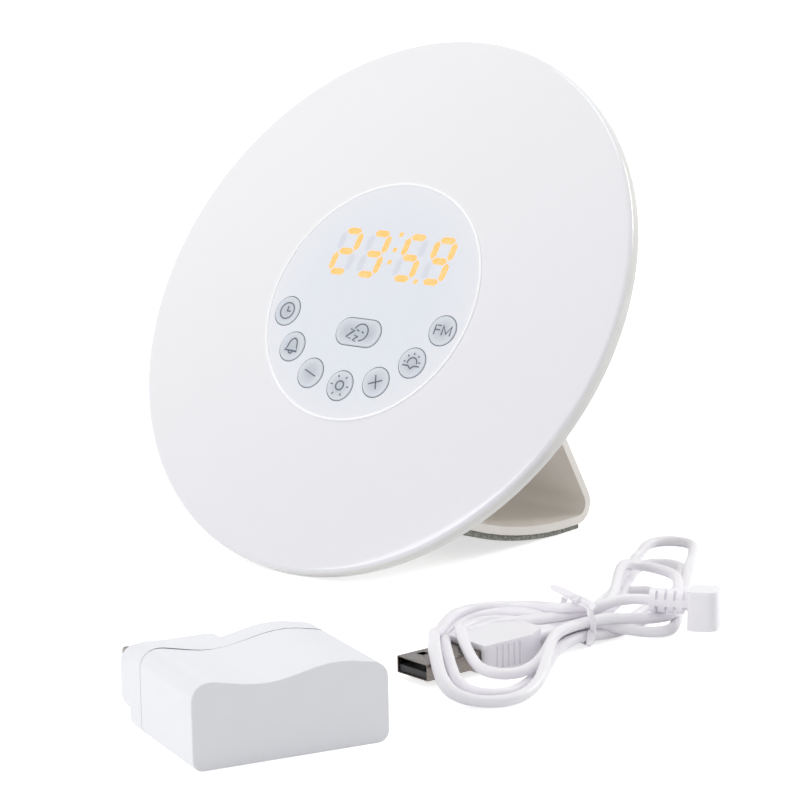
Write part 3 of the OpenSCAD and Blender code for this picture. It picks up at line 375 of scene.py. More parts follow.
def pearl_grey():
    """The stand's satin lacquer, with a little pearl."""
    finish = Finish("stand_pearl", srgb(232, 228, 221), 0.36, Coat_Weight=0.15, Coat_Roughness=0.2)
    cloud = finish.noise(0.02)
    finish.colour(finish.blend(cloud, srgb(247, 242, 236), srgb(238, 233, 225)))
    finish.bump(finish.noise(0.0003, 2.0), 0.00001)
    return finish


def foam():
    """The foot pad's open-celled foam."""
    finish = Finish("pad_foam", srgb(150, 152, 142), 0.9)
    cells = finish.noise(0.0011, 4.0)
    finish.colour(finish.blend(cells.ramp(0.3, 0.7), srgb(118, 120, 112), srgb(176, 178, 168)))
    finish.bump(cells, 0.0004)
    return finish


def plated(name, colour, roughness, scratch=0.06):
    """Plated or drawn metal, with fine lines across its height."""
    finish = Finish(name, colour, roughness, Metallic=1.0)
    lines = finish.noise(0.002, 4.0, stretch=(1, 1, 9))
    darker = [c * 0.82 for c in colour[:3]] + [1]
    finish.colour(finish.blend(lines.ramp(0.35, 0.7), colour, darker))
    finish.set("Roughness", roughness + (lines - 0.5) * scratch)
    return finish


def cord_white():
    """The cord's soft jacket, which lets a little light through."""
    finish = Finish("cord_jacket", srgb(252, 251, 254), 0.34, Subsurface_Weight=0.5,
                    Subsurface_Radius=(1, 1, 1), Subsurface_Scale=0.001)
    cloud = finish.noise(0.01)
    finish.colour(finish.blend(cloud, srgb(253, 250, 255), srgb(248, 245, 253)))
    finish.bump(finish.noise(0.0006, 2.0), 0.00002)
    return finish


def circuit_board(name):
    """A board's green lacquer over blocks of copper."""
    finish = Finish(name, srgb(30, 105, 66), 0.45)
    tracks = finish.node(
        "ShaderNodeTexBrick", None,
        {"Vector": finish.where, "Color1": srgb(24, 92, 58), "Color2": srgb(38, 122, 78),
         "Mortar": srgb(20, 76, 50), "Scale": 160.0, "Mortar Size": 0.01},
    )
    finish.colour(tracks.outputs["Color"])
    return finish


def make_finishes():
    """Every finish, by the record's material slot."""
    finishes = {
        "milky_white": milky_face(),
        "cover_white": rear_white(),
        "panel_white": panel_blue_white(),
        "key_grey": key_grey(),
        "digit_amber": lit_amber(),
        "digit_ghost": moulded("digit_ghost", srgb(228, 230, 240), 0.3),
        "inner_white": moulded("inner_white", srgb(236, 236, 236), 0.6, grain=0.00003),
        "black_plastic": moulded("black_plastic", srgb(40, 40, 43), 0.5, 0.2, 0.00002),
        "board_green": circuit_board("board_green"),
        "led_yellow": moulded("led_yellow", srgb(246, 226, 150), 0.25),
        "board_white": moulded("board_white", srgb(242, 242, 240), 0.5),
        "steel": plated("steel", srgb(196, 196, 200), 0.32),
        "speaker_black": moulded("speaker_black", srgb(34, 34, 36), 0.75, 0.3, 0.0001),
        "speaker_steel": plated("speaker_steel", srgb(120, 120, 126), 0.4),
        "magnet": moulded("magnet", srgb(94, 94, 97), 0.8, 0.2, 0.00005),
        "wire_red": moulded("wire_red", srgb(190, 36, 32), 0.45),
        "stand_pearl": pearl_grey(),
        "pad_foam": foam(),
        "adapter_white": moulded("adapter_white", srgb(244, 245, 249), 0.3, 0.02, 0.00001),
        "nickel": plated("nickel", srgb(132, 126, 120), 0.27),
        "coil_yellow": moulded("coil_yellow", srgb(214, 178, 60), 0.5, 0.15),
        "lead_white": cord_white(),
        "print_slate": moulded("print_slate", srgb(100, 110, 124), 0.5, 0.1),
        "gap_shade": moulded("gap_shade", srgb(92, 100, 112), 0.8, 0.1),
        # a painted highlight for the panel's edge bead: white with a faint glow, though nothing
        # lights it
        "rim_highlight_glow": moulded("rim_highlight_glow", srgb(252, 252, 254), 0.12, 0.01, Emission_Strength=0.1),
    }
    return {slot: finish.material for slot, finish in finishes.items()}


# ---- Meshes ----
def shade(bm, limit):
    """Smooth faces, with sharp edges where they turn by more than limit degrees."""
    for face in bm.faces:
        face.smooth = True
    for edge in bm.edges:
        sharp = len(edge.link_faces) != 2 or edge.calc_face_angle(0) > math.radians(limit)
        edge.smooth = not sharp


def piece_of(name, bm, place, slot, body, stands_for=(), limit=32, finish=None):
    """A piece in its place, from a mesh in mm in that place's frame."""
    bmesh.ops.remove_doubles(bm, verts=bm.verts, dist=1e-4)
    bmesh.ops.recalc_face_normals(bm, faces=bm.faces)
    bm.transform(place)
    shade(bm, limit)
    mesh = bpy.data.meshes.new(name)
    bm.to_mesh(mesh)
    bm.free()
    piece = bpy.data.objects.new(name, mesh)
    scene.collection.objects.link(piece)
    mesh.materials.append(FINISHES[finish or slot])
    attach(piece, body, stands_for)
    return piece


def attach(piece, body, stands_for=()):
    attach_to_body(piece, body)
    if stands_for:
        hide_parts(*stands_for)


def skin(bm, rings, closed=True, capped=False):
    """Faces between rings of vertices; a ring of one vertex closes a point."""
    for low, high in zip(rings, rings[1:]):
        count = max(len(low), len(high))
        for i in range(count if closed else count - 1):
            j = (i + 1) % count
            corners = [low[i % len(low)], low[j % len(low)], high[j % len(high)], high[i % len(high)]]
            distinct = list(dict.fromkeys(corners))
            if len(distinct) > 2:
                bm.faces.new(distinct)
    if capped:
        bm.faces.new(rings[0])
        bm.faces.new(rings[-1])


def circle(r, z, steps, centre=(0, 0)):
    angles = [2 * math.pi * i / steps for i in range(steps)]
    return [(centre[0] + r * math.cos(a), centre[1] + r * math.sin(a), z) for a in angles]


def lathe(profile, steps=240, centre=(0, 0)):
    """A closed profile of (radius, height) points, turned about centre."""
    bm = bmesh.new()
    rings = [[bm.verts.new(p) for p in circle(r, z, steps, centre)] for r, z in profile]
    skin(bm, rings + rings[:1])
    return bm


def arc(centre, r, start, end, steps):
    """Points of an arc in a profile, angles in degrees."""
    angles = [math.radians(start + (end - start) * i / steps) for i in range(steps + 1)]
    return [(centre[0] + r * math.cos(a), centre[1] + r * math.sin(a)) for a in angles]


CRISP_SHARE = 0.15             # the part of its rounding that a crisp edge keeps


def softened(node, slot, body, width, segments=3, flatten=1.0, limit=32, crisp=None):
    """A moulded copy of a CAD node with its edges rounded by width, in mm.
    crisp tells which edges stay nearly sharp."""
    source = frame["nodes"][node]
    bm = bmesh.new()
    bm.from_mesh(source.data)
    bmesh.ops.remove_doubles(bm, verts=bm.verts, dist=1e-6)
    bmesh.ops.dissolve_degenerate(bm, dist=1e-6, edges=bm.edges)
    if flatten:
        bmesh.ops.dissolve_limit(
            bm, angle_limit=math.radians(flatten), verts=bm.verts, edges=bm.edges
        )
    shade(bm, limit)
    if crisp:
        weights = bm.edges.layers.float.new("bevel_weight_edge")
        for edge in bm.edges:
            if not edge.smooth:
                edge[weights] = CRISP_SHARE if crisp(edge) else 1.0
    mesh = bpy.data.meshes.new(node + "_moulded")
    bm.to_mesh(mesh)
    bm.free()
    piece = bpy.data.objects.new(node + "_moulded", mesh)
    scene.collection.objects.link(piece)
    mesh.materials.append(FINISHES[slot])
    if width:
        bevel = piece.modifiers.new("rounded edges", "BEVEL")
        bevel.width = width * MM
        bevel.segments = segments
        bevel.limit_method = "WEIGHT" if crisp else "ANGLE"
        bevel.angle_limit = math.radians(limit)
        bevel.harden_normals = True
        bevel.miter_outer = "MITER_ARC"
    attach(piece, body, (node,))
    return piece


def at_seam(edge):
    """Whether an edge lies where the adapter's two halves meet."""
    to_place = ADAPTER.inverted()
    return all(abs((to_place @ vert.co).y - ADAPTER_CASE_L) < 0.3 for vert in edge.verts)


def on_relief(edge):
    """Whether an edge belongs to the power plug's ribbed relief, and not to its head."""
    to_place = DC_PLUG.inverted()
    return any((to_place @ vert.co).x < DC_RELIEF_L - 0.1 for vert in edge.verts)


def ribbon(bm, points, width, top, bottom, closed=False):
    """A flat printed line along the points."""
    count = len(points)
    rings = []
    for i, point in enumerate(points):
        before = points[i - 1] if i or closed else point
        after = points[(i + 1) % count] if i + 1 < count or closed else point
        way = Vector((after[0] - before[0], after[1] - before[1])).normalized()
        inward = Vector((point[0] - before[0], point[1] - before[1]))
        bend = inward.normalized().dot(way) if inward.length else 1
        half = width / 2 / max(bend, 0.6)
        side = Vector((-way.y, way.x)) * half
        corners = [(-1, bottom), (-1, top), (1, top), (1, bottom)]
        rings.append([
            bm.verts.new((point[0] + s * side.x, point[1] + s * side.y, z)) for s, z in corners
        ])
    if closed:
        rings.append(rings[0])
    skin(bm, rings, capped=not closed)


# ---- The lead ----
# Passes of the cord through the tie: sideways from its middle, and heading there, in degrees
PASSES = [
    (0.0, 78), (3.1, 258), (-3.2, 51), (6.2, 256), (-6.2, 47), (3.1, 254), (-3.2, 50), (6.2, 254),
    (-1.5, 44),
]
# Between two passes the cord is wound, always the same way round, about posts: x, y and radius
TURNS = [
    [(101, -55, 6.8)],
    [(121, -150.5, 7.6), (90.5, -106, 10)],
    [(87.5, -26, 6.8), (104, -62, 10)],
    [(122, -152.5, 10.6), (88.5, -106, 11.5)],
    [(74.5, -2, 7.2), (118, -80, 10)],
    [(119, -141, 7.4), (95.5, -109.5, 8.5)],
    [(100, -48, 7.4), (114, -75, 11)],
    [(124.5, -154.5, 11), (88.5, -104, 12.5)],
]
# Route of the cord from the tie to the power plug, in metres
TAIL = [
    (0.11215, -0.0915, 0.0084), (0.1133, -0.089, 0.0086), (0.1144, -0.0868, 0.009),
    (0.1157, -0.0848, 0.0094), (0.1172, -0.083, 0.0095), (0.1192, -0.0814, 0.0095),
    (0.12213, -0.07988, 0.0095),
]
TAIL_HEADING = 65              # degrees, where the windings end and the tail begins
CORD_STEP = 2.0                # mm between the points of the finished route
ARM_SHARE = 0.37               # part of its length that a curve keeps to its first or last heading
LONGEST_ARM = 17               # and the most of it, in mm
POST_STEP = 12                 # degrees between points round a post
BOWS = (2, 20)                 # degrees that a run bows outwards: beyond the tie, round the USB plug
BAND_HALF = (5, 9)             # half the stretch of the windings under the tie, and half its width
BAND_LIFT = 0.9                # height of the tie's band between the windings and the table
# Where turns lie on the USB plug: length along it, half its width, height over its middle
USB_BEDS = ((USB_SHELL_L, 6, 2.25), (USB_GRIP_L, 7.5, 4), (USB_RELIEF_L - 1, 2.5, 2.6))
OWN_STRETCH = 9                # mm along the cord within which it doesn't lie on itself
HUMP_BEND = 0.0045             # half the bend, in 1/mm, of the cord's hump over another turn
SETTLED_IN = 0.96              # crossing turns press into each other a little


def heading_vector(degrees):
    return Vector((math.cos(math.radians(degrees)), math.sin(math.radians(degrees))))


def bezier(start, way, end, end_way, steps=14):
    """Points of a curve that leaves start and reaches end along the two headings."""
    reach = min((end - start).length * ARM_SHARE, LONGEST_ARM)
    a = start + way * reach
    b = end - end_way * reach
    points = []
    for i in range(steps + 1):
        t = i / steps
        u = 1 - t
        points.append(start * u**3 + a * (3 * u * u * t) + b * (3 * u * t * t) + end * t**3)
    return points


def wound(start, heading, posts, end, end_heading, bow):
    """The cord's run from start round the posts, clockwise, to end."""
    stops = [(start, 0.0)] + [(Vector(p[:2]), p[2]) for p in posts] + [(end, 0.0)]
    points = []
    leave, way = start, heading
    for k in range(1, len(stops)):
        (here, r0), (there, r1) = stops[k - 1], stops[k]
        line = there - here
        level = math.degrees(math.atan2(line.y, line.x) + math.asin((r1 - r0) / line.length))
        if k > 1:
            way_out = level + bow
            turned = (way - way_out) % 360
            count = int(turned // POST_STEP) + 1
            for i in range(1, count + 1):
                points.append(here + r0 * heading_vector(way - turned * i / count + 90))
            leave, way = points[-1], way_out
        way_in = level - bow if k + 1 < len(stops) else end_heading
        arrive = there + r1 * heading_vector(way_in + 90) if r1 else there
        points += bezier(leave, heading_vector(way), arrive, heading_vector(way_in))[1:]
        way = way_in
    return points


def spread(points, step):
    """The same route with its points step apart."""
    points = np.array(points)
    lengths = np.linalg.norm(np.diff(points, axis=0), axis=1)
    along = np.concatenate([[0], np.cumsum(lengths)])
    count = int(round(along[-1] / step)) + 1
    at = np.linspace(0, along[-1], count)
    return np.stack([np.interp(at, along, points[:, i]) for i in range(points.shape[1])], axis=1)


def eased(points, rounds):
    """The route with its small kinks smoothed out; the ends stay."""
    points = points.copy()
    for _ in range(rounds):
        points[1:-1] = points[1:-1] * 0.5 + (points[:-2] + points[2:]) * 0.25
    return points


def ground_under(x, y):
    """Lowest height of the cord's middle at x, y: over the table, the tie's band or the USB plug."""
    here = Vector((x, y))
    along = (here - Vector(TIE_AT)).dot(heading_vector(TIE_TURN))
    across = (here - Vector(TIE_AT)).dot(heading_vector(TIE_TURN - 90))
    low = CORD_R
    if abs(along) < BAND_HALF[0] and abs(across) < BAND_HALF[1]:
        low = CORD_R + BAND_LIFT
    plug = here - Vector(USB_AT)
    along = plug.dot(heading_vector(USB_TURN))
    across = abs(plug.dot(heading_vector(USB_TURN + 90)))
    start = 0
    for length, half_w, high in USB_BEDS:
        if start < along <= start + length and across < half_w:
            low = USB_Z + high + CORD_R
        start += length
    return low


def settled(route, fixed):
    """Heights for a route in plan: each stretch lies on the table or on what was wound before it,
    and rises over it in a long low hump. fixed gives heights that are already settled."""
    count = len(route)
    floor = np.array([ground_under(x, y) for x, y in route])
    z = floor.copy()
    skip = int(OWN_STRETCH / CORD_STEP)
    limp = HUMP_BEND * CORD_STEP**2
    reach = 2 * CORD_R
    for _ in range(3):
        for i in range(count):
            low = floor[i]
            if i > skip:
                gap = np.linalg.norm(route[: i - skip] - route[i], axis=1)
                near = gap < reach
                if near.any():
                    lift = np.sqrt(reach**2 - gap[near] ** 2)
                    low = max(low, float((z[: i - skip][near] + lift * SETTLED_IN).max()))
            z[i] = fixed.get(i, low)
        for _ in range(60):
            smooth = z.copy()
            smooth[1:-1] = np.maximum(z[1:-1], (z[:-2] + z[2:]) / 2 - limp)
            for i, height in fixed.items():
                smooth[i] = height
            z = smooth
    return z


def cord_route():
    """The whole cord's middle line, in metres, from the USB plug to the power plug."""
    tie = Vector(TIE_AT)
    side = heading_vector(TIE_TURN - 90)
    exit_at = Vector(USB_AT) + heading_vector(USB_TURN) * (USB_SHELL_L + USB_GRIP_L + USB_RELIEF_L)
    places = [tie + side * offset for offset, _ in PASSES]
    plan = bezier(exit_at, heading_vector(USB_TURN), places[0], heading_vector(PASSES[0][1]), 5)
    for k, posts in enumerate(TURNS):
        plan += wound(places[k], PASSES[k][1], posts, places[k + 1], PASSES[k + 1][1], BOWS[k % 2])
    tail_start = Vector(TAIL[0][:2]) / MM
    tail_z = TAIL[0][2] / MM
    last_pass = heading_vector(PASSES[-1][1])
    plan += bezier(places[-1], last_pass, tail_start, heading_vector(TAIL_HEADING), 4)[1:]
    plan = eased(spread([tuple(p) for p in plan], CORD_STEP), 3)
    last = len(plan) - 1
    fixed = {0: USB_Z, 1: USB_Z, 2: USB_Z, last - 1: tail_z - 0.15, last: tail_z}
    heights = settled(plan, fixed)
    heights = eased(heights[:, None], 6)[:, 0]
    route = [Vector((x, y, z)) * MM for (x, y), z in zip(plan, heights)]
    return route + [Vector(p) for p in TAIL[1:]]


def curve_piece(name, points, radius, closed=False, sides=3):
    """A round cord or wire along the points, in metres."""
    curve = bpy.data.curves.new(name, "CURVE")
    curve.dimensions = "3D"
    curve.bevel_depth = radius
    curve.bevel_resolution = sides
    curve.use_fill_caps = True
    spline = curve.splines.new("POLY")
    spline.points.add(len(points) - 1)
    for point, at in zip(spline.points, points):
        point.co = (*at, 1)
    spline.use_cyclic_u = closed
    spline.use_smooth = True
    piece = bpy.data.objects.new(name, curve)
    scene.collection.objects.link(piece)
    return piece


def make_cord():
    route = cord_route()
    cord = curve_piece("cord", route, CORD_R * MM, sides=4)
    cord.data.materials.append(FINISHES["lead_white"])
    attach(cord, "lead", ("lead_hank", "lead_tail"))
    return cord, route


def strap(bm, points, width, thickness, across):
    """A flat strap along the points; across is the direction of its width at each point."""
    rings = []
    count = len(points)
    for i, point in enumerate(points):
        way = (points[min(i + 1, count - 1)] - points[max(i - 1, 0)]).normalized()
        wide = (across[i] - way * across[i].dot(way)).normalized()
        thick = way.cross(wide)
        grow = math.sin(math.pi * min(1, 0.35 + min(i, count - 1 - i) / 3) / 2)
        corners = [(-1, -1), (-1, 1), (1, 1), (1, -1)]
        rings.append([
            bm.verts.new(point + wide * (a * width * grow / 2) + thick * (b * thickness / 2))
            for a, b in corners
        ])
    skin(bm, rings, capped=True)


def make_tie():
    """The lead's tie: a strap round the windings, knotted on top, with two splayed ends."""
    half_w, low, high, corner = 8.5, 0.45, 10.9, 3
    side, bottom, top = half_w - corner, low + corner, high - corner
    bm = bmesh.new()
    band = []
    for centre, start in (
        ((side, top), 0), ((-side, top), 90), ((-side, bottom), 180), ((side, bottom), 270)
    ):
        band += arc(centre, corner, start, start + 90, 6)
    points = [Vector((0.35 * math.sin(i), x, z)) for i, (x, z) in enumerate(band)]
    rings = []
    count = len(points)
    for i, point in enumerate(points):
        way = (points[(i + 1) % count] - points[i - 1]).normalized()
        wide = Vector((1, 0, 0))
        thick = way.cross(wide)
        corners = [(-1, -0.6), (-0.7, 1), (0.7, 1), (1, -0.6)]
        rings.append([
            bm.verts.new(point + wide * (a * 0.95) + thick * (b * 0.42)) for a, b in corners
        ])
    skin(bm, rings + rings[:1])
    ends = [
        [(0, -0.6, 11.4), (-0.2, 2.4, 12.1), (-1.0, 5, 12.5), (-1.8, 8, 12.6), (-2.2, 10.6, 12.9)],
        [(0, 0.6, 11.4), (0.3, -2, 12.1), (0.5, -4.6, 11.9), (0.4, -7.4, 11.4), (0.2, -9.2, 11)],
        [(-0.6, -8.2, 5), (-0.9, -9.3, 3.4), (-1.6, -10.2, 2.3), (-2.6, -11, 1.6)],
    ]
    for end in ends:
        line = spread(end, 0.9)
        line = [Vector(p) for p in eased(line, 4)]
        turns = [Vector((math.cos(0.09 * i), 0, math.sin(0.09 * i))) for i in range(len(line))]
        strap(bm, line, 1.9, 0.6, turns)
    knot = bmesh.ops.create_icosphere(bm, subdivisions=3, radius=1)
    for vert in knot["verts"]:
        x, y, z = vert.co
        vert.co = (1.5 * x, 2.3 * y + 0.4 * x, 11.5 + 1.05 * z + 0.25 * math.sin(4 * x + 3 * y))
    return piece_of("tie", bm, TIE, "lead_white", "lead", ("lead_tie",), limit=50)


# ---- The clock ----
def make_front_cover():
    """The milky face: from the panel's edge out over the dome and round the rim."""
    bm = bmesh.new()
    face_r = DISC_R - EDGE_ROUND
    skirt_r = DISC_R - WALL
    hole_r = PANEL_R + 0.15
    steps = 288
    radial = 22
    lip = 0.006                # share of the face that the lip round the hole takes up
    corner = 0.12              # bevel of the rim's back edge
    rings = []

    def ring_at(share, drop):
        """A ring between the panel's hole and the face's edge, dropped under the surface."""
        ring = []
        for i in range(steps):
            a = 2 * math.pi * i / steps
            hole = Vector((hole_r * math.cos(a), PANEL_Y + hole_r * math.sin(a)))
            edge = Vector((face_r * math.cos(a), face_r * math.sin(a)))
            p = hole.lerp(edge, share)
            ring.append(bm.verts.new((p.x, p.y, dome(p.length) - drop)))
        return ring

    rings.append(ring_at(0, WALL))
    rings.append(ring_at(0, 0.25))
    rings.append(ring_at(0.0015, 0.07))
    for i in range(1, radial + 1):
        rings.append(ring_at(lip + (1 - lip) * i / radial, 0))
    rim = arc((face_r, dome(face_r) - EDGE_ROUND), EDGE_ROUND, 72, 0, 7)
    back = [(DISC_R, corner - FRONT_BAND), (DISC_R - corner, -FRONT_BAND), (skirt_r, -FRONT_BAND)]
    for r, z in rim + back + [(skirt_r, dome(skirt_r) - WALL)]:
        rings.append([bm.verts.new(p) for p in circle(r, z, steps)])
    for i in (3, 2, 1):
        rings.append(ring_at(i / 4, WALL))
    skin(bm, rings + rings[:1])
    return piece_of("milky_face", bm, DISC, "milky_white", "clock", ("front_cover",), limit=24)


def make_panel():
    """The control panel, with the surface's true normals so that it mirrors light evenly."""
    piece = softened("control_panel", "panel_white", "clock", 0, flatten=0)
    mesh = piece.data
    to_disc = DISC.inverted()
    turned = DISC.to_3x3().normalized()
    slope = 2 * DOME_RISE / DISC_R**2
    out = (turned @ Vector((0, 0, 1))).normalized()
    normals = [None] * len(mesh.loops)
    corner_normals = [n.vector.copy() for n in mesh.corner_normals]
    for face in mesh.polygons:
        flat = face.normal.dot(out) > 0.995
        for i in face.loop_indices:
            normals[i] = corner_normals[i]
            if flat:
                p = to_disc @ mesh.vertices[mesh.loops[i].vertex_index].co
                bent = Vector((slope * p.x, slope * (p.y - PANEL_Y), 1))
                normals[i] = (turned @ bent).normalized()
    mesh.normals_split_custom_set(normals)
    # a bright bead round the panel's edge that glows faintly as a painted highlight
    bead = arc((PANEL_R - 0.2, panel_height(PANEL_R, PANEL_Y) + 0.02), 0.42, 0, 330, 11)
    piece_of("panel_rim", lathe(bead, 288, (0, PANEL_Y)), DISC, "panel_white", "clock", limit=60,
             finish="rim_highlight_glow")


def outline(r, half, steps=64):
    """A circle, or a slot with round ends when half is over 0."""
    points = []
    for i in range(steps):
        a = 2 * math.pi * (i + 0.5) / steps
        points.append(((half if math.cos(a) > 0 else -half) + r * math.cos(a), r * math.sin(a)))
    return points


def make_key(name, place, r, half):
    """A key's cap and the shaded gap round it."""
    bm = bmesh.new()
    top = KEY_PROUD
    profile = [
        (r, -1.2), (r, top - 0.32), (r - 0.1, top - 0.12), (r - 0.3, top - 0.02), (r - 0.5, top),
        (r - 0.62, top - 0.03), (r - 1.1, top - 0.1), (0.5, top - 0.14),
    ]
    rings = [[bm.verts.new((*p, z)) for p in outline(rho, half)] for rho, z in profile]
    skin(bm, rings, capped=True)
    FINISHES["cap_" + name] = key_grey("key_grey_" + name, place, r, half).material
    piece_of("cap_" + name, bm, place, "key_grey", f"key_{name}_body", (f"key_{name}",), limit=60,
             finish="cap_" + name)
    gap = bmesh.new()
    inner, outer = r + 0.02, r + KEY_GAP
    profile = [(inner, -0.45), (inner, -0.06), (outer, -0.06), (outer, -0.45)]
    rings = [[gap.verts.new((*p, z)) for p in outline(rho, half)] for rho, z in profile]
    skin(gap, rings + rings[:1])
    piece_of("gap_" + name, gap, place, "panel_white", "clock", limit=30, finish="gap_shade")


def bow_points(x, y, r, start, end, steps=18):
    return arc((x, y), r, start, end, steps)


# Each icon's lines, in mm from its key's middle, and whether a line closes on itself
ICONS = {
    "clock": [(bow_points(0, 0, 2.65, 0, 340), True), ([(0, 1.45), (0, -0.1), (1.35, -0.1)], False)],
    "alarm": [
        ([(-2.45, -1.3), (-1.75, -0.4), (-1.5, 0.9), (-0.95, 2.0), (0, 2.6), (0.25, 2.65),
          (1.15, 2.15), (1.7, 1.1), (1.9, -0.2), (2.5, -1.55)], True),
        (bow_points(0.05, -1.45, 0.85, 190, 340, 8), False),
    ],
    "minus": [([(-2.4, 0.8), (2.35, -0.95)], False)],
    "light": [(bow_points(0, 0, 1.45, 0, 340), True)],
    "plus": [([(-2.4, -0.85), (2.35, 0.8)], False), ([(-0.7, 2.2), (0.8, -2.2)], False)],
    "sunrise": [
        (bow_points(0.1, -0.15, 1.75, -5, 185), False),
        ([(-3.15, -1.0), (-1.05, -1.0), (0.05, -1.95), (1.1, -1.0), (3.15, -1.0)], False),
    ],
    "radio": [
        ([(-2.75, -1.5), (-2.75, 1.5), (-0.8, 1.5)], False), ([(-2.75, 0.1), (-1.0, 0.1)], False),
        ([(0.05, -1.5), (0.05, 1.5), (1.6, -1.0), (3.1, 1.5), (3.1, -1.5)], False),
    ],
    "snooze": [
        (bow_points(1.0, 0, 2.7, 158, -88, 24), False),
        ([(-0.75, 0.75), (0.25, 0.35)], False), ([(1.35, 0.25), (2.1, -0.1)], False),
        ([(-3.15, 0.75), (-1.5, 0.45), (-4.1, -1.9), (-2.1, -2.3)], False),
        ([(-1.0, -1.1), (0.35, -1.35), (-1.2, -2.75), (0.1, -3.05)], False),
    ],
}
# Rays round the two icons that have them: count, first angle, angle in all, inner radius, length
RAYS = {"light": (6, -4, 360, 2.75, 0.8), "sunrise": (5, 4, 215, 2.45, 0.65)}
STROKE = 0.39
PRINT_TOP = KEY_PROUD - 0.05
PRINT_DEPTH = 0.2


def rays_tree():
    """Printed dashes round a point: a Geometry Nodes tree with named inputs, in mm."""
    tree = bpy.data.node_groups.new("dashes round a point", "GeometryNodeTree")
    face = tree.interface
    face.new_socket("Geometry", in_out="OUTPUT", socket_type="NodeSocketGeometry")
    sizes = ["First angle", "Whole angle", "Inner radius", "Length", "Width", "Thickness"]
    kinds = {"Count": "Int", **dict.fromkeys(sizes, "Float"), "Finish": "Material"}
    for name, kind in kinds.items():
        face.new_socket(name, in_out="INPUT", socket_type="NodeSocket" + kind)
    add = tree.nodes.new
    link = tree.links.new
    given = add("NodeGroupInput")
    result = add("NodeGroupOutput")

    def maths(operation, first, second):
        node = add("ShaderNodeMath")
        node.operation = operation
        for socket, value in zip(node.inputs, (first, second)):
            if isinstance(value, bpy.types.NodeSocket):
                link(value, socket)
            else:
                socket.default_value = value
        return node.outputs[0]

    dash = add("GeometryNodeMeshCube")
    size = add("ShaderNodeCombineXYZ")
    link(given.outputs["Length"], size.inputs[0])
    link(given.outputs["Width"], size.inputs[1])
    link(given.outputs["Thickness"], size.inputs[2])
    link(size.outputs[0], dash.inputs["Size"])
    line = add("GeometryNodeMeshLine")
    link(given.outputs["Count"], line.inputs["Count"])
    points = add("GeometryNodeMeshToPoints")
    link(line.outputs[0], points.inputs[0])
    index = add("GeometryNodeInputIndex")
    step = maths("DIVIDE", given.outputs["Whole angle"], given.outputs["Count"])
    angle = maths("ADD", given.outputs["First angle"], maths("MULTIPLY", step, index.outputs[0]))
    half_length = maths("MULTIPLY", given.outputs["Length"], 0.5)
    middle = maths("ADD", given.outputs["Inner radius"], half_length)
    place =add("ShaderNodeCombineXYZ")
    link(maths("MULTIPLY", middle, maths("COSINE", angle, 0)), place.inputs[0])
    link(maths("MULTIPLY", middle, maths("SINE", angle, 0)), place.inputs[1])
    put = add("GeometryNodeSetPosition")
    link(points.outputs[0], put.inputs[0])
    link(place.outputs[0], put.inputs["Position"])
    turned = add("ShaderNodeCombineXYZ")
    link(angle, turned.inputs[2])
    copies = add("GeometryNodeInstanceOnPoints")
    link(put.outputs[0], copies.inputs["Points"])
    link(dash.outputs[0], copies.inputs["Instance"])
    link(turned.outputs[0], copies.inputs["Rotation"])
    real = add("GeometryNodeRealizeInstances")
    link(copies.outputs[0], real.inputs[0])
    finish = add("GeometryNodeSetMaterial")
    link(real.outputs[0], finish.inputs[0])
    link(given.outputs["Finish"], finish.inputs["Material"])
    link(finish.outputs[0], result.inputs[0])
    return tree


def from_tree(name, tree, values):
    """The mesh that a Geometry Nodes tree gives for the named values."""
    carrier = bpy.data.objects.new(name, bpy.data.meshes.new(name))
    scene.collection.objects.link(carrier)
    modifier = carrier.modifiers.new("tree", "NODES")
    modifier.node_group = tree
    for item in tree.interface.items_tree:
        if item.in_out == "INPUT" and item.name in values:
            modifier[item.identifier] = values[item.name]
    graph = bpy.context.evaluated_depsgraph_get()
    mesh = bpy.data.meshes.new_from_object(carrier.evaluated_get(graph))
    bpy.data.objects.remove(carrier)
    return mesh


def make_icon(name, place, tree):
    """The print on a key: its lines, and its rays where it has them."""
    bm = bmesh.new()
    for points, closed in ICONS[name]:
        ribbon(bm, points, STROKE, PRINT_TOP, PRINT_TOP - PRINT_DEPTH, closed)
    if name in RAYS:
        count, first, whole, inner, length = RAYS[name]
        mesh = from_tree("rays", tree, {
            "Count": count, "First angle": math.radians(first), "Whole angle": math.radians(whole),
            "Inner radius": float(inner), "Length": float(length), "Width": STROKE,
            "Thickness": PRINT_DEPTH, "Finish": FINISHES["print_slate"],
        })
        mesh.transform(moved(0, 0, PRINT_TOP - PRINT_DEPTH / 2))
        bm.from_mesh(mesh)
    piece_of("print_" + name, bm, place, "key_grey", f"key_{name}_body", finish="print_slate")


def make_keys():
    tree = rays_tree()
    names = ["clock", "alarm", "minus", "light", "plus", "sunrise", "radio"]
    places = {name: on_panel(*key_place(i - 3)) for i, name in enumerate(names)}
    places["snooze"] = on_panel(0, SNOOZE_Y)
    for name, place in places.items():
        r, half = (SNOOZE_R, SNOOZE_HALF) if name == "snooze" else (KEY_R, 0)
        make_key(name, place, r, half)
        make_icon(name, place, tree)


def make_clock():
    make_front_cover()
    softened("rear_cover", "cover_white", "clock", 0, flatten=0, limit=28)
    make_panel()
    make_keys()
    softened("stand", "stand_pearl", "clock", 0.5, flatten=0.3)
    softened("foot_pad", "pad_foam", "clock", 0.3)
    softened("battery_door", "cover_white", "door", 0.25)


SEAM_R = 0.26
SEAM_SINK = 0.3                # how deep the seam's middle lies under the surface


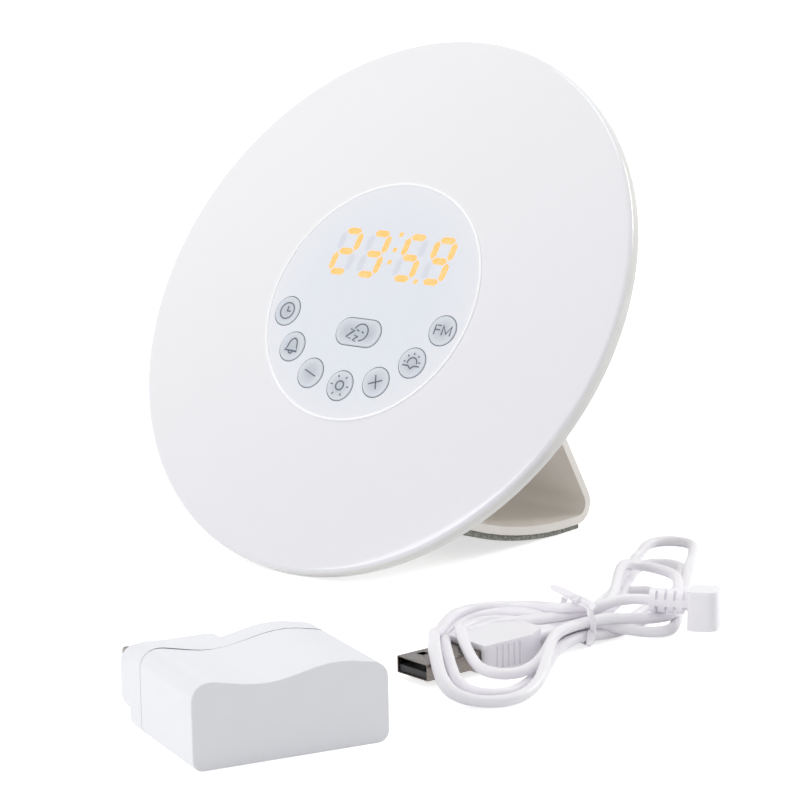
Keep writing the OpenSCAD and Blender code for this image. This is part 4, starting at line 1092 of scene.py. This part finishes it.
def make_seam():
    """The shaded line where the adapter's two halves meet."""
    bm = bmesh.new()
    bm.from_mesh(frame["nodes"]["adapter_case"].data)
    bmesh.ops.remove_doubles(bm, verts=bm.verts, dist=1e-6)
    middle = ADAPTER @ Vector((0, ADAPTER_CASE_L, ADAPTER_H / 2))
    line = {}
    for edge in bm.edges:
        if not at_seam(edge):
            continue
        for face in edge.link_faces:
            along = abs(face.normal.dot(ADAPTER.to_3x3().col[1].normalized()))
            if along < 0.2 and face.normal.dot(edge.verts[0].co - middle) > 0:
                for vert in edge.verts:
                    flat = ADAPTER.inverted() @ vert.co
                    line[round(math.atan2(flat.z - ADAPTER_H / 2, flat.x), 3)] = vert.co.copy()
    bm.free()
    outer = [line[angle] for angle in sorted(line)]
    points = [p + (middle - p).normalized() * SEAM_SINK * MM for p in outer]
    seam = curve_piece("adapter_seam", points, SEAM_R * MM, closed=True)
    seam.data.materials.append(FINISHES["gap_shade"])
    attach(seam, "adapter")


def make_adapter():
    softened("adapter_case", "adapter_white", "adapter", 2.0, segments=5, crisp=at_seam)
    softened("adapter_back", "adapter_white", "adapter", 1.4, segments=4, crisp=at_seam)
    softened("adapter_blades", "nickel", "adapter", 0.2)
    make_seam()


def make_plugs():
    shell = softened("usb_shell", "nickel", "lead", 0.15, 2)
    grip = softened("usb_grip", "lead_white", "lead", 0.7)
    plug = softened("dc_grip", "lead_white", "lead", 1.5, segments=4, crisp=on_relief)
    return [shell, grip, plug]


def paint_nodes():
    """Every CAD node that shows as it is gets its slot's finish."""
    for part in frame["record"]["subparts"]:
        node = frame["nodes"][part["node"]]
        material = FINISHES[part["material_slot"]]
        node.data.materials.clear()
        node.data.materials.append(material)


# ---- Light and surroundings ----
LIGHT_TARGET = (0.03, -0.09, 0.07)
# Place, size in metres and power in watts
LAMPS = {
    "key light": ((-0.85, -2.0, 0.85), 1.2, 12.5),
    "top light": ((-0.2, 0.0, 1.7), 0.9, 5.5),
    "side light": ((0.8, 1.5, 0.9), 0.9, 11),
}
ROOM_LEVEL = 0.57              # the room's light on the object
BACKDROP_LEVEL = 1.0           # the room as the camera and mirrors see it
FLOOR_PAINT = (0.83, 0.83, 0.84, 1)
FLOOR_GLOW = 0.66              # added for the camera and mirrors, so that shadows stay pale
FLOOR_REACH = 6.0


def make_light():
    target = Vector(LIGHT_TARGET)
    for name, (at, size, energy) in LAMPS.items():
        lamp = bpy.data.lights.new(name, "AREA")
        lamp.shape = "DISK"
        lamp.size = size
        lamp.energy = energy
        light = bpy.data.objects.new(name, lamp)
        light.location = at
        light.rotation_euler = (target - Vector(at)).to_track_quat("-Z", "Y").to_euler()
        scene.collection.objects.link(light)


def seen_directly(tree):
    """1 for the camera's own rays and for those that glossy and clear things send on."""
    path = tree.nodes.new("ShaderNodeLightPath")
    total = path.outputs["Is Camera Ray"]
    for name in ("Is Glossy Ray", "Is Transmission Ray"):
        node = tree.nodes.new("ShaderNodeMath")
        node.operation = "MAXIMUM"
        tree.links.new(total, node.inputs[0])
        tree.links.new(path.outputs[name], node.inputs[1])
        total = node.outputs[0]
    return total


def make_world():
    world = bpy.data.worlds.new("studio")
    scene.world = world
    world.use_nodes = True
    tree = world.node_tree
    tree.nodes.clear()
    output = tree.nodes.new("ShaderNodeOutputWorld")
    mixed = tree.nodes.new("ShaderNodeMixShader")
    for slot, level in ((1, ROOM_LEVEL), (2, BACKDROP_LEVEL)):
        light = tree.nodes.new("ShaderNodeBackground")
        light.inputs["Color"].default_value = (1, 1, 1, 1)
        light.inputs["Strength"].default_value = level
        tree.links.new(light.outputs[0], mixed.inputs[slot])
    tree.links.new(seen_directly(tree), mixed.inputs[0])
    tree.links.new(mixed.outputs[0], output.inputs["Surface"])


def make_floor():
    """A plain white floor that keeps the object's shadow."""
    mesh = bpy.data.meshes.new("floor")
    corners = [(-1, -1), (1, -1), (1, 1), (-1, 1)]
    mesh.from_pydata([(x * FLOOR_REACH, y * FLOOR_REACH, 0) for x, y in corners], [], [(0, 1, 2, 3)])
    floor = bpy.data.objects.new("floor", mesh)
    scene.collection.objects.link(floor)
    material = bpy.data.materials.new("floor_white")
    material.use_nodes = True
    tree = material.node_tree
    tree.nodes.clear()
    output = tree.nodes.new("ShaderNodeOutputMaterial")
    total = tree.nodes.new("ShaderNodeAddShader")
    paint = tree.nodes.new("ShaderNodeBsdfDiffuse")
    paint.inputs["Color"].default_value = FLOOR_PAINT
    glow = tree.nodes.new("ShaderNodeEmission")
    level = tree.nodes.new("ShaderNodeMath")
    level.operation = "MULTIPLY"
    tree.links.new(seen_directly(tree), level.inputs[0])
    level.inputs[1].default_value = FLOOR_GLOW
    tree.links.new(level.outputs[0], glow.inputs["Strength"])
    tree.links.new(paint.outputs[0], total.inputs[0])
    tree.links.new(glow.outputs[0], total.inputs[1])
    tree.links.new(total.outputs[0], output.inputs["Surface"])
    mesh.materials.append(material)


# ---- Making ----
make_camera()
FINISHES = make_finishes()
paint_nodes()
cord, route = make_cord()
make_clock()
make_adapter()
plugs = make_plugs()
tie = make_tie()
make_light()
make_world()
make_floor()
